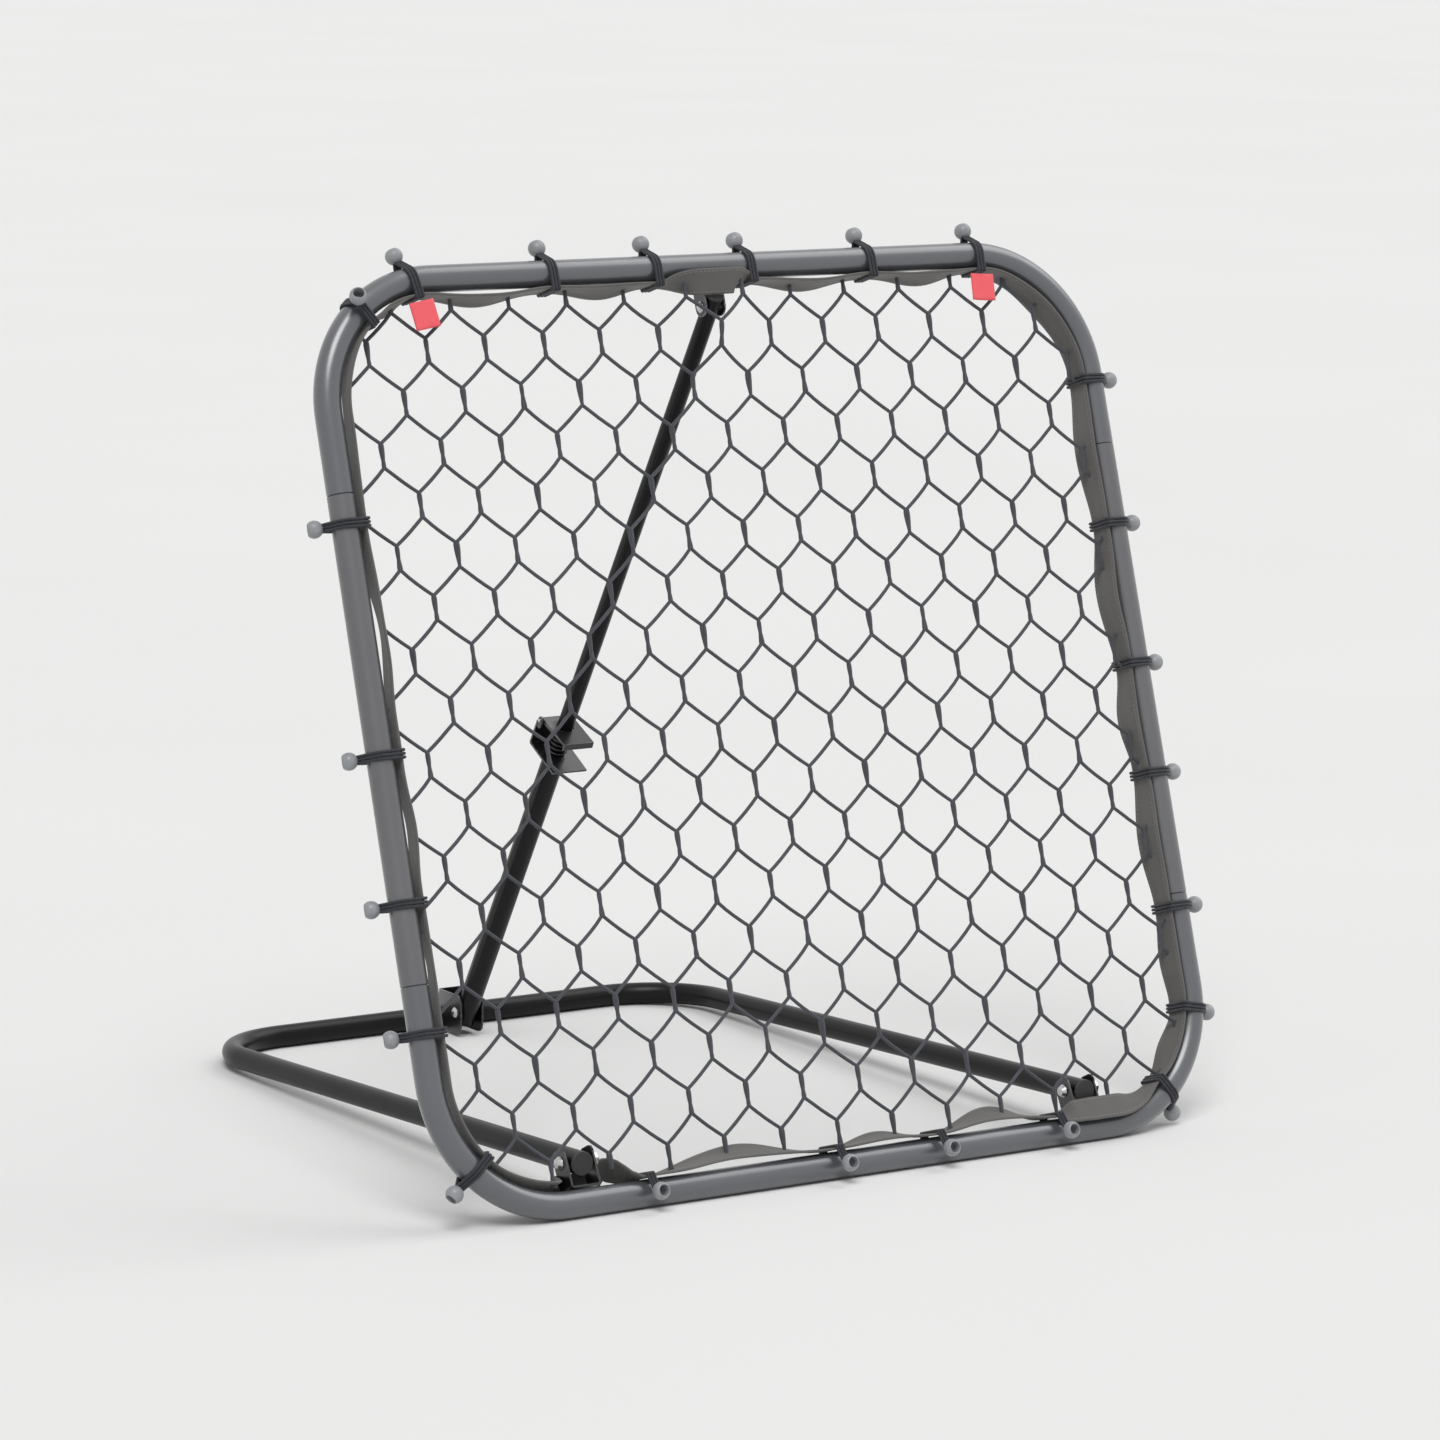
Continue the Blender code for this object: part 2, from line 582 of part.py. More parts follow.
def lower_strut():
    tube = straight_tube("strut_lower_tube", LOWER_TUBE, LOWER_WALL, -LOWER_TUBE_REACH - LOWER_TUBE_TAIL, 0,
                         BLACK_PAINT, SLIDE)
    slot_end = Vector((0, MISS_ACROSS, -MISS_ALONG))
    slot = outline_mesh("foot_slot", [slot_outline(RIVET / 2 + HOLE_GAP, slot_end.length / 2 + GAP)], LOWER_TUBE + 0.004)
    slot.transform(Matrix.Rotation(pi / 2, 4, "Z") @ Matrix.Rotation(pi / 2, 4, "X"))
    middle = Vector((0, 0, -LOWER_TUBE_REACH)) + slot_end / 2
    combine(tube, cutter("foot_slot", slot, SLIDE, middle, (atan2(slot_end.z, slot_end.y), 0, 0)))
    bore = (LOWER_TUBE / 2 - LOWER_WALL) * cos_of_facet() - GAP
    guide = UPPER_TUBE / 2 + SLIDE_GAP / cos_of_facet()
    profile = [(guide, -GAP), (bore, -GAP), (bore, -BUSH_LENGTH), (guide, -BUSH_LENGTH)]
    mesh = turned_mesh("strut_guide_bush", profile, TUBE_SIDES)
    smooth(mesh)
    add_mesh_object("strut_guide_bush", mesh, PLASTIC, SLIDE)


def foot_bracket():
    """A U channel on the front of the back bar, open forwards."""
    name = "foot_bracket"
    web_y = BACK_BAR_Y - BASE_RADIUS - GAP
    reach = web_y - (FOOT[0] - CHEEK_REACH - 0.002)
    height = FOOT_BRACKET_TOP - FOOT_BRACKET_BOTTOM
    mesh = outline_mesh(name, [channel_outline(FOOT_BRACKET_WIDTH, reach, CHEEK, BEND_RADIUS)], height)
    mesh.transform(Matrix.Rotation(pi, 4, "Z"))
    middle = (FOOT_BRACKET_TOP + FOOT_BRACKET_BOTTOM) / 2
    obj = add_mesh_object(name, mesh, BLACK_PAINT, GROUND, (0, web_y, middle))
    side = rounded_rectangle(-reach, CHEEK_REACH, -height / 2, height / 2, CHEEK_REACH - 0.001, 3)
    blank = outline_mesh(name + "_side", [side], FOOT_BRACKET_WIDTH + 0.002)
    blank.transform(Matrix.Rotation(pi / 2, 4, "Z") @ Matrix.Rotation(pi / 2, 4, "X"))
    combine(obj, cutter(name + "_side", blank, GROUND, (0, web_y, middle)), "INTERSECT")
    cross_hole(obj, RIVET / 2 + HOLE_GAP, FOOT_BRACKET_WIDTH + 0.004, GROUND, (0, *FOOT))
    rivet("foot_rivet", FOOT_BRACKET_WIDTH, GROUND, (0, *FOOT))


# Adjuster

def adjuster_bracket():
    """A folded plate: a flange on the lower tube's end, a back web and two ears for the lock plate's pin."""
    name = "adjuster_bracket"
    wall, half = ADJUSTER_PLATE, ADJUSTER_WIDTH / 2
    web_top = ADJUSTER_HEIGHT - LOCK_EAR / 2
    bend = 0.002
    side = ([(-ADJUSTER_FRONT, 0)] + [(ADJUSTER_BACK - bend, 0)]
            + arc((ADJUSTER_BACK - bend, bend), bend, -pi / 2, 0, 2)
            + [(ADJUSTER_BACK, web_top), (ADJUSTER_BACK - wall, web_top), (ADJUSTER_BACK - wall, wall),
               (-ADJUSTER_FRONT, wall)])
    mesh = outline_mesh(name, [side], ADJUSTER_WIDTH)
    turn = Matrix.Rotation(pi / 2, 4, "Z") @ Matrix.Rotation(pi / 2, 4, "X")
    mesh.transform(turn)
    obj = add_mesh_object(name, mesh, BLACK_PAINT, SLIDE, (0, 0, GAP))
    ear_low = web_top - 0.006
    ear = rounded_rectangle(ADJUSTER_BACK - wall - LOCK_EAR, ADJUSTER_BACK - wall / 2, ear_low,
                            ADJUSTER_HEIGHT + LOCK_EAR / 2, LOCK_EAR / 2 - 0.0003)
    for sign in (-1, 1):
        blade = outline_mesh("ear", [ear], wall)
        blade.transform(turn)
        combine(obj, cutter(name + "_ear", blade, SLIDE, (sign * (half - wall / 2 - EAR_INSET), 0, GAP)), "UNION")
    hole = cylinder_mesh(name + "_hole", UPPER_TUBE / 2 + SLIDE_GAP / cos_of_facet(), 4 * wall, TUBE_SIDES)
    combine(obj, cutter(name + "_hole", hole, SLIDE, (0, 0, GAP)))
    pin_place = (0, lock_pin_back(), ADJUSTER_HEIGHT)
    cross_hole(obj, LOCK_PIN / 2 + GAP, ADJUSTER_WIDTH + 0.004, SLIDE, pin_place)
    pin = turned_mesh("lock_pin", [(0, half + 0.0015), (LOCK_PIN / 2, half + 0.0015), (LOCK_PIN / 2, -half - 0.0015),
                                   (0, -half - 0.0015)], 10)
    add_mesh_object("lock_pin", pin, ZINC, SLIDE, pin_place, (0, pi / 2, 0))


def lock_pin_back():
    return ADJUSTER_BACK - ADJUSTER_PLATE - LOCK_EAR / 2


def lock_plate():
    """The plate that grips the upper tube: flat, with a front lip and a curl round its pin."""
    name = "lock_plate"
    wall, back = ADJUSTER_PLATE, lock_pin_back()
    eye = LOCK_PIN / 2 + GAP + 0.0012
    reach = back + ADJUSTER_FRONT
    side = ([(-reach, -LIP_HEIGHT), (-reach + wall, -LIP_HEIGHT), (-reach + wall, -wall / 2)]
            + arc((0, 0), eye, 5 * pi / 4, 11 * pi / 4, 8) + [(-reach, wall / 2)])
    width = ADJUSTER_WIDTH - 2 * (ADJUSTER_PLATE + EAR_INSET + GAP)
    mesh = outline_mesh(name, [side], width)
    mesh.transform(Matrix.Rotation(pi / 2, 4, "Z") @ Matrix.Rotation(pi / 2, 4, "X"))
    hinge = empty("lock_hinge", SLIDE, (0, back, ADJUSTER_HEIGHT), -LOCK_TILT)
    obj = add_mesh_object(name, mesh, BLACK_PAINT, hinge)
    hole = cylinder_mesh(name + "_hole", UPPER_TUBE / 2 + 0.0009, 6 * wall, TUBE_SIDES)
    combine(obj, cutter(name + "_hole", hole, hinge, (0, -back, 0)))
    cross_hole(obj, LOCK_PIN / 2 + GAP, ADJUSTER_WIDTH, hinge, (0, 0, 0))


def least_gap(points, diameter, near):
    """The least gap of a round wire to itself, between points more than near steps apart."""
    best = min((Vector(a) - Vector(b)).length for i, a in enumerate(points) for b in points[i + near:])
    return best - diameter


def lock_spring():
    low = GAP + ADJUSTER_PLATE + GAP + SPRING_WIRE / 2
    high = ADJUSTER_HEIGHT - SPRING_SLACK
    radius = (UPPER_TUBE / 2 + SPRING_PLAY + SPRING_WIRE / 2) / cos(pi / SPRING_POINTS)
    count = SPRING_TURNS * SPRING_POINTS
    points = []
    for i in range(count + 1):
        angle = 2 * pi * i / SPRING_POINTS
        points.append((radius * cos(angle), radius * sin(angle), low + (high - low) * i / count))
    mesh = tube_mesh("lock_spring", points, SPRING_WIRE / 2, 6)
    smooth(mesh)
    add_mesh_object("lock_spring", mesh, ZINC, SLIDE)
    print("lock spring: least gap to itself", round(1000 * least_gap(points, SPRING_WIRE, SPRING_POINTS // 2), 2), "mm")


# Perimeter of the frame: distances run anticlockwise, seen from the front, from the middle of the bottom tube

SIDE_STRAIGHT = FRAME_UP - 2 * FRAME_CORNER
RIGHT_START = STRAIGHT_X + CORNER_ARC
TOP_START = RIGHT_START + SIDE_STRAIGHT + CORNER_ARC
LEFT_START = TOP_START + 2 * STRAIGHT_X + CORNER_ARC
BOTTOM_START = LEFT_START + SIDE_STRAIGHT + CORNER_ARC
PERIMETER = BOTTOM_START + STRAIGHT_X


def station(distance):
    """(x, up, outward angle, outward angle of the tube's own stretch) on the frame tubes' centre line. The tubes'
    bends are made of short straight stretches, and so is this line."""
    d = distance % PERIMETER
    corners = ((STRAIGHT_X, (STRAIGHT_X, FRAME_CORNER), -pi / 2),
               (RIGHT_START + SIDE_STRAIGHT, (STRAIGHT_X, FRAME_UP - FRAME_CORNER), 0),
               (TOP_START + 2 * STRAIGHT_X, (-STRAIGHT_X, FRAME_UP - FRAME_CORNER), pi / 2),
               (LEFT_START + SIDE_STRAIGHT, (-STRAIGHT_X, FRAME_CORNER), pi))
    for start, centre, angle in corners:
        if start <= d <= start + CORNER_ARC:
            share = (d - start) / CORNER_ARC * CORNER_STEPS
            number = min(int(share), CORNER_STEPS - 1)
            step = pi / 2 / CORNER_STEPS
            a, b = (Vector(polar(FRAME_CORNER, angle + step * (number + i))) for i in (0, 1))
            x, up = Vector(centre) + a.lerp(b, share - number)
            return x, up, angle + step * share, angle + step * (number + 0.5)
    if d < STRAIGHT_X:
        return d, 0.0, -pi / 2, -pi / 2
    if d < TOP_START - CORNER_ARC:
        return HALF_X, FRAME_CORNER + d - RIGHT_START, 0.0, 0.0
    if d < LEFT_START - CORNER_ARC:
        return STRAIGHT_X - (d - TOP_START), FRAME_UP, pi / 2, pi / 2
    if d < BOTTOM_START - CORNER_ARC:
        return -HALF_X, FRAME_UP - FRAME_CORNER - (d - LEFT_START), pi, pi
    return -STRAIGHT_X + (d - BOTTOM_START), 0.0, -pi / 2, -pi / 2


def on_bottom(x):
    return x % PERIMETER


def on_top(x):
    return TOP_START + STRAIGHT_X - x


def on_right(up):
    return RIGHT_START + up - FRAME_CORNER


def on_left(up):
    return LEFT_START + FRAME_UP - FRAME_CORNER - up


def on_corner(angle):
    """The distance at a corner, by its angle from +X in degrees."""
    starts = {3: STRAIGHT_X, 0: RIGHT_START + SIDE_STRAIGHT, 1: TOP_START + 2 * STRAIGHT_X, 2: LEFT_START + SIDE_STRAIGHT}
    quarter = int(angle // 90)
    return starts[quarter] + radians(angle - 90 * quarter) * FRAME_CORNER


def bungee_places():
    """[(distance, turn of the ball)], in order along the perimeter."""
    places = []
    for rows, where in ((BOTTOM_BUNGEES, on_bottom), (RIGHT_BUNGEES, on_right), (TOP_BUNGEES, on_top),
                        (LEFT_BUNGEES, on_left)):
        places += [(where(value), rows[1]) for value in rows[0]]
    places += [(on_corner(angle), radians(turn)) for angle, turn in CORNER_BUNGEES]
    return sorted(places)


BUNGEES = bungee_places()
BAND_TIGHT = FRAME_RADIUS + 2 * GAP + BAND_THICKNESS / 2


# Border band

def band_keys():
    """[(distance, inwards, forwards, twist)]: tight at each bungee, and off the tube between two of them."""
    keys = [((distance + side * BAND_HELD) % PERIMETER, BAND_TIGHT, 0.0, 0.0) for distance, _ in BUNGEES
            for side in (-1, 1)]
    for where, rows in ((on_bottom, BAND_PAST_LEFT_BRACKET), (on_bottom, BAND_PAST_RIGHT_BRACKET),
                        (on_top, BAND_PAST_TOP_BRACKET)):
        keys += [(where(x), inwards, forwards, radians(twist)) for x, inwards, forwards, twist in rows]
    keys.sort()
    filled = []
    for index, key in enumerate(keys):
        following = keys[(index + 1) % len(keys)]
        length = (following[0] - key[0]) % PERIMETER
        filled.append(key)
        if key[2] == 0 and following[2] == 0 and length > 3 * BAND_HELD:
            lift = BAND_WAVE * length * (0.75 + 0.25 * sin(2.4 * index))
            twist = radians(9) * sin(1.7 * index + 0.6)
            filled.append(((key[0] + length / 2) % PERIMETER, BAND_TIGHT + lift, 0.0, twist))
    return sorted(filled)


BAND_KEYS = band_keys()


def band_at(distance):
    """(inwards, forwards, twist) of the band's middle line, eased between its keys."""
    d = distance % PERIMETER
    before, after = BAND_KEYS[-1], BAND_KEYS[0]
    for index, key in enumerate(BAND_KEYS):
        if key[0] > d:
            after, before = key, BAND_KEYS[index - 1]
            break
    length = (after[0] - before[0]) % PERIMETER
    share = ((d - before[0]) % PERIMETER) / length
    ease = (1 - cos(pi * share)) / 2
    return tuple(before[i] + (after[i] - before[i]) * ease for i in (1, 2, 3))


def frame_point(distance, inwards, forwards):
    x, up, turn, _ = station(distance)
    return Vector((x - inwards * cos(turn), -forwards, up - inwards * sin(turn)))


def band_stations():
    stations = []
    for index, key in enumerate(BAND_KEYS):
        following = BAND_KEYS[(index + 1) % len(BAND_KEYS)]
        length = (following[0] - key[0]) % PERIMETER
        count = max(ceil(length / BAND_STEP), ceil(abs(following[3] - key[3]) / BAND_TWIST_STEP))
        stations += [key[0] + length * i / count for i in range(count)]
    return stations


def border_band():
    points, faces = [], []
    for d in band_stations():
        inwards, forwards, twist = band_at(d)
        for side in (1, -1):
            reach = side * BAND_WIDTH / 2
            points.append(frame_point(d, inwards - reach * sin(twist), forwards + reach * cos(twist)))
    total = len(points)
    for i in range(0, total, 2):
        faces.append((i, i + 1, (i + 3) % total, (i + 2) % total))
    mesh = bpy.data.meshes.new("border_band")
    mesh.from_pydata(points, [], faces)
    obj = add_mesh_object("border_band", mesh, WEBBING, FRAME)
    solid = obj.modifiers.new("thickness", "SOLIDIFY")
    solid.thickness = BAND_THICKNESS
    solid.offset = 0
    solid.use_even_offset = True
    smooth(mesh, 50)


# Net

def hexagon(x, up):
    """A hole of the net, between two bars and four slanted cords."""
    half = NET_PITCH / 2
    rise = NET_ROW - NET_BAR
    slope = hypot(half, rise)
    normal_x, normal_up = rise / slope, half / slope
    tip = rise + NET_BAR / 2
    edge = normal_up * tip - NET_CORD_WIDTH / 2
    shoulder_x = half - NET_BAR_WIDTH / 2
    shoulder_up = (edge - normal_x * shoulder_x) / normal_up
    top = edge / normal_up
    return [(x, up - top), (x + shoulder_x, up - shoulder_up), (x + shoulder_x, up + shoulder_up),
            (x, up + top), (x - shoulder_x, up + shoulder_up), (x - shoulder_x, up - shoulder_up)]


def net_inset(d):
    """How far inside the tube's axis the net ends: a small gap inside the band, where the band crosses it."""
    inwards, forwards, twist = band_at(d)
    middle = frame_point(d, inwards, 0)
    forwards -= net_bulge(middle.x, middle.z)
    near, half = NET_THICKNESS / 2 + BAND_THICKNESS, BAND_WIDTH / 2
    share = max(cos(twist), 0.1)
    low, high = max(-half, (-near - forwards) / share), min(half, (near - forwards) / share)
    if low > high:
        return NET_FREE_INSET
    reach = max(inwards - low * sin(twist), inwards - high * sin(twist))
    return reach + BAND_THICKNESS / 2 / max(share, 0.5) + 2 * GAP


def net_edge():
    """The net's outline, which steps in under each bungee's cord."""
    under_cord = BAND_TIGHT + BAND_THICKNESS / 2 + CORD + 3 * GAP
    starts = [(d - BAND_HELD) % PERIMETER for d, _ in BUNGEES]
    ends = [(d + BAND_HELD) % PERIMETER for d, _ in BUNGEES]
    points = []
    for d in band_stations():
        insets = [net_inset(d)]
        if d % PERIMETER in starts:
            insets = [net_inset(d), under_cord]
        elif d % PERIMETER in ends:
            insets = [under_cord, net_inset(d)]
        points += [frame_point(d, inset, 0) for inset in insets]
    return [(point.x, point.z) for point in points]


def net_bulge(x, up):
    """How far the net stands forward of the frame's plane, where it passes the strut's bracket."""
    across = max(0.0, 1 - abs(x) / NET_BULGE_HALF_WIDTH)
    rise = (up - (FRAME_UP - NET_BULGE_START)) / (NET_BULGE_START - NET_BULGE_FULL)
    rise = min(1.0, max(0.0, rise))
    return NET_BULGE * (1 - cos(pi * across)) / 2 * (1 - cos(pi * rise)) / 2


def keep_largest_piece(mesh):
    """Drops the loose ends that the trimming leaves."""
    work = bmesh.new()
    work.from_mesh(mesh)
    left, pieces = set(work.verts), []
    while left:
        piece, front = set(), [left.pop()]
        while front:
            vertex = front.pop()
            piece.add(vertex)
            for edge in vertex.link_edges:
                other = edge.other_vert(vertex)
                if other in left:
                    left.discard(other)
                    front.append(other)
        pieces.append(piece)
    largest = max(pieces, key=len)
    loose = [vertex for piece in pieces if piece is not largest for vertex in piece]
    bmesh.ops.delete(work, geom=loose, context="VERTS")
    work.to_mesh(mesh)
    work.free()


def net():
    holes = []
    rows = ceil(FRAME_UP / NET_ROW) + 1
    columns = ceil(HALF_X / NET_PITCH) + 1
    first_row = -ceil(NET_BAR_UP / NET_ROW) - 1
    for row in range(first_row, first_row + rows + 3):
        shift = NET_PITCH / 2 if row % 2 == 0 else 0.0
        for column in range(-columns, columns + 1):
            holes.append(hexagon(NET_BAR_X + shift + column * NET_PITCH, NET_BAR_UP + row * NET_ROW))
    wide, tall = HALF_X + 3 * NET_PITCH, FRAME_UP + 4 * NET_ROW
    sheet = [(-wide, -4 * NET_ROW), (wide, -4 * NET_ROW), (wide, tall), (-wide, tall)]
    mesh = outline_mesh("net_sheet", [sheet] + holes, NET_THICKNESS)
    mesh.transform(Matrix.Rotation(pi / 2, 4, "X"))
    raw = add_mesh_object("net_raw", mesh, NET_CORD, FRAME)
    edge = outline_mesh("net_edge", [net_edge()], 0.02)
    edge.transform(Matrix.Rotation(pi / 2, 4, "X"))
    combine(raw, cutter("net_edge", edge, FRAME), "INTERSECT", "MANIFOLD")
    trimmed = welded(raw, "net")
    keep_largest_piece(trimmed)
    for vertex in trimmed.vertices:
        vertex.co.y -= net_bulge(vertex.co.x, vertex.co.z)
    add_mesh_object("net", trimmed, NET_CORD, FRAME)


# Bungees

def wrap(start, end, radius, centre=(0.0, 0.0)):
    """Corners of a chain of lines that touch a circle, between two angles, so that no line cuts into it."""
    span = end - start
    count = max(1, ceil(abs(span) / CORD_STEP))
    step = span / count
    corner = radius / cos(step / 2)
    return [(centre[0] + corner * cos(start + step * (i + 0.5)), centre[1] + corner * sin(start + step * (i + 0.5)))
            for i in range(count)]


def loop_path(turn, on_ground):
    """The cord round tube and band, in (outwards, forwards) from the tube's axis. Both its ends are in the ball,
    side by side, but a loop on the ground leaves out its last stretch under the tube."""
    around = FRAME_RADIUS + GAP + CORD / 2
    tip = polar(BALL_REACH - BALL / 4, turn)
    beside = polar(CORD / 2 + GAP, turn + pi / 2)
    reach = acos(around / BALL_REACH)
    edge_out = -(BAND_TIGHT + BAND_THICKNESS / 2)
    edge_radius = GAP + CORD / 2
    half_band = BAND_WIDTH / 2
    over_band = (wrap(pi / 2, pi, edge_radius, (edge_out, half_band))
                 + wrap(-pi, -pi / 2, edge_radius, (edge_out, -half_band)))
    if on_ground:
        back = wrap(-pi / 2, -pi / 2 + radians(22), around)
        end = polar(around, -pi / 2 + radians(24))
        return [tip] + over_band + back + [end]
    front = wrap(turn + reach, pi / 2, around) if turn + reach < pi / 2 else []
    back = wrap(-pi / 2, turn - reach, around) if turn - reach > -pi / 2 else []
    first_end = (tip[0] + beside[0], tip[1] + beside[1])
    last_end = (tip[0] - beside[0], tip[1] - beside[1])
    return [first_end] + front + over_band + back + [last_end]


def ball_profile():
    """A ball with an open mouth in its outer side, where the cord's knot sits."""
    radius = BALL / 2
    rings = [polar(radius, angle) for angle in (BALL_LIP, radians(8), radians(-36))]
    return [(0, -BALL_FLOOR)] + rings + [(0, -radius)]


def bungee_mesh(name, turn, on_ground):
    points = [(out, ahead, 0) for out, ahead in loop_path(turn, on_ground)]
    loop = tube_mesh(name, points, CORD / 2, 6)
    loop.transform(Matrix.Rotation(pi / 2, 4, "X"))
    ball = turned_mesh(name + "_ball", ball_profile(), BALL_SIDES)
    work = add_mesh_object(name + "_work", loop, BALL_PLASTIC)
    out, ahead = polar(BALL_REACH, turn)
    helper = cutter(name + "_ball", ball, None, (out, 0, ahead), (0, pi / 2 - turn, 0))
    combine(work, helper, "UNION", "MANIFOLD")
    mesh = welded(work, name)
    bpy.data.objects.remove(helper)
    smooth(mesh)
    return mesh


def ball_bungees():
    """Each loop is drawn in the plane across the tube: X outwards, Z towards the front."""
    meshes = {}
    for index, (d, turn) in enumerate(BUNGEES):
        on_ground = turn == BOTTOM_BUNGEES[1]
        if turn not in meshes:
            meshes[turn] = bungee_mesh(f"bungee_{round(degrees(turn))}", turn, on_ground)
        x, up, _, outward = station(d)
        out = Vector((cos(outward), 0, sin(outward)))
        ahead = Vector((0, -1, 0))
        made = add_mesh_object(f"ball_bungee_{index + 1:02d}", meshes[turn], BALL_PLASTIC, FRAME)
        made.matrix_local = Matrix.Translation((x, 0, up)) @ Matrix((out, ahead.cross(out), ahead)).transposed().to_4x4()


def tags():
    """Two plain squares, each held by its upper edge under a bungee's loop."""
    under_loop = BAND_TIGHT + BAND_THICKNESS / 2 + GAP + CORD + GAP
    for name, place, swing in (("tag_left", TOP_BUNGEES[0][0], 9), ("tag_right", TOP_BUNGEES[0][-1], -4)):
        half = TAG_SIZE / 2
        square = [(-half, -TAG_SIZE), (half, -TAG_SIZE), (half, 0), (-half, 0)]
        mesh = outline_mesh(name, [square], TAG_THICKNESS)
        mesh.transform(Matrix.Rotation(radians(swing), 4, "Z"))
        mesh.transform(Matrix.Rotation(pi / 2, 4, "X"))
        x, up, _, outward = station(on_top(place))
        drop = under_loop * sin(outward) + CORD * sin(radians(abs(swing)))
        add_mesh_object(name, mesh, TAG_RED, FRAME, (x - under_loop * cos(outward), -BAND_WIDTH / 2, up - drop))


def build():
    frame_tubes()
    base_tube()
    hinges()
    strut_top_bracket()
    upper_strut()
    lower_strut()
    foot_bracket()
    adjuster_bracket()
    lock_plate()
    lock_spring()
    border_band()
    net()
    ball_bungees()
    tags()
    print("hinge at", [round(v, 6) for v in HINGE], "foot at", [round(v, 6) for v in FOOT])
    print("top pivot", [round(v, 6) for v in TOP], "strut length", round(STRUT_LENGTH, 6))
    print("strut leans", round(degrees(STRUT_LEAN), 5), "to", round(degrees(SHORT_LEAN), 5), "degrees")
    print("strut travel", round(STRUT_TRAVEL, 5), "misses", round(MISS_ALONG, 5), round(MISS_ACROSS, 5))
    print("base slope", round(degrees(BASE_SLOPE), 3), "back bar at", round(BACK_BAR_Y, 5))


build()
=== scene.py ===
# Looks of the soccer rebounder, in metres: X across the frame, Y towards the back, Z up. The frame, its net
# and its bungees are drawn in the frame's own plane, as (x, back, up) from the bottom tube's axis.

import json
from math import acos, asin, ceil, cos, hypot, pi, radians, sin

import bmesh
import bpy
from mathutils import Matrix, Vector

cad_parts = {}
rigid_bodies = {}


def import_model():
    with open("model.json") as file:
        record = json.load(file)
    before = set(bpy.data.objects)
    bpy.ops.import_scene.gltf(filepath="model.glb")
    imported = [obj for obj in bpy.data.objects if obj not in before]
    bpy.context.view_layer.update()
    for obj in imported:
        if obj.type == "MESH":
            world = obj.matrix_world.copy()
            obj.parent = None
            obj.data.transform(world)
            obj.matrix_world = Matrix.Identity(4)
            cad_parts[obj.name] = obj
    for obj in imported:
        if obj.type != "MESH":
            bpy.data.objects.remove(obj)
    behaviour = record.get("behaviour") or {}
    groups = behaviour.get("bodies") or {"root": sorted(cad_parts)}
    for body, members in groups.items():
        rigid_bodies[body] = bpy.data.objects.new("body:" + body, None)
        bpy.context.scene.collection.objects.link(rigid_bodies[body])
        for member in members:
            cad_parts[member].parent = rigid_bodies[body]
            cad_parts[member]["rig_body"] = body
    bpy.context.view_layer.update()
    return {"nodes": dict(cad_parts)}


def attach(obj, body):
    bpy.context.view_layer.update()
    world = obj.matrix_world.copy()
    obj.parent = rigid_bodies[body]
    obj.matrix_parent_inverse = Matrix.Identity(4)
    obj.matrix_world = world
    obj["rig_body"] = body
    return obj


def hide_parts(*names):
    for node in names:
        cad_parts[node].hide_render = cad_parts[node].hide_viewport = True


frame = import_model()

# Frame, as in the CAD source
FRAME_SIZE = 0.840
FRAME_TUBE = 0.025
FRAME_CORNER = 0.1175
LEAN = radians(17.6)
TOP_SEAM_DROP = 0.198
BOTTOM_SEAM_RISE = 0.215
TUBE_SIDES = 14
GAP = 0.0003

# Base and strut, as in the CAD source. The hinge is the (back, up) of the base's hinge axis
BASE_HALF_WIDTH = 0.270
BASE_TUBE = 0.022
BASE_WALL = 0.0012
BASE_CORNER = 0.086
BASE_DEPTH = 0.685
ARM_OVERHANG = 0.0105
BOLT_HOLE = 0.0068
HINGE = (0.021703, 0.043626)
LOWER_TUBE_MOUTH = (0, 0.497444, 0.305475)
STRUT_LEAN = radians(30.14613)
SPRING_RADIUS = 0.0093
SPRING_WIRE = 0.0016
SPRING_TURNS = 5
SPRING_LOW = 0.0034
SPRING_HIGH = 0.0282

# Net, band, bungees and tags, as in the CAD source. NET_BAR_X and NET_BAR_UP are the middle of one of the
# net's upright bars, and BAND_HELD is how far the band is tight on each side of a bungee
NET_PITCH = 0.05963
NET_ROW = 0.0452
NET_BAR = 0.0225
NET_BAR_X = -0.0026
NET_BAR_UP = 0.119
BAND_WIDTH = 0.025
BAND_THICKNESS = 0.0026
BAND_HELD = 0.0026
BUNGEE_CORD = 0.0034
BALL = 0.0158
BALL_REACH = 0.0268
TAG_SIZE = 0.025

# Bungees by where they are: (places, the ball's turn from outwards towards the front)
TOP_BUNGEES = ((-0.310, -0.168, -0.059, 0.0415, 0.173, 0.295), radians(-20))
LEFT_BUNGEES = ((0.603, 0.401, 0.2725, 0.1605), radians(-25))
RIGHT_BUNGEES = ((0.691, 0.554, 0.421, 0.317, 0.191), radians(-12))
BOTTOM_BUNGEES = ((-0.211, -0.013, 0.097, 0.230), radians(90))

# Bungees on the corners: (outward angle of the place, the ball's turn), in degrees
CORNER_BUNGEES = ((130, 60), (221, 0), (306, -24), (349, -20))

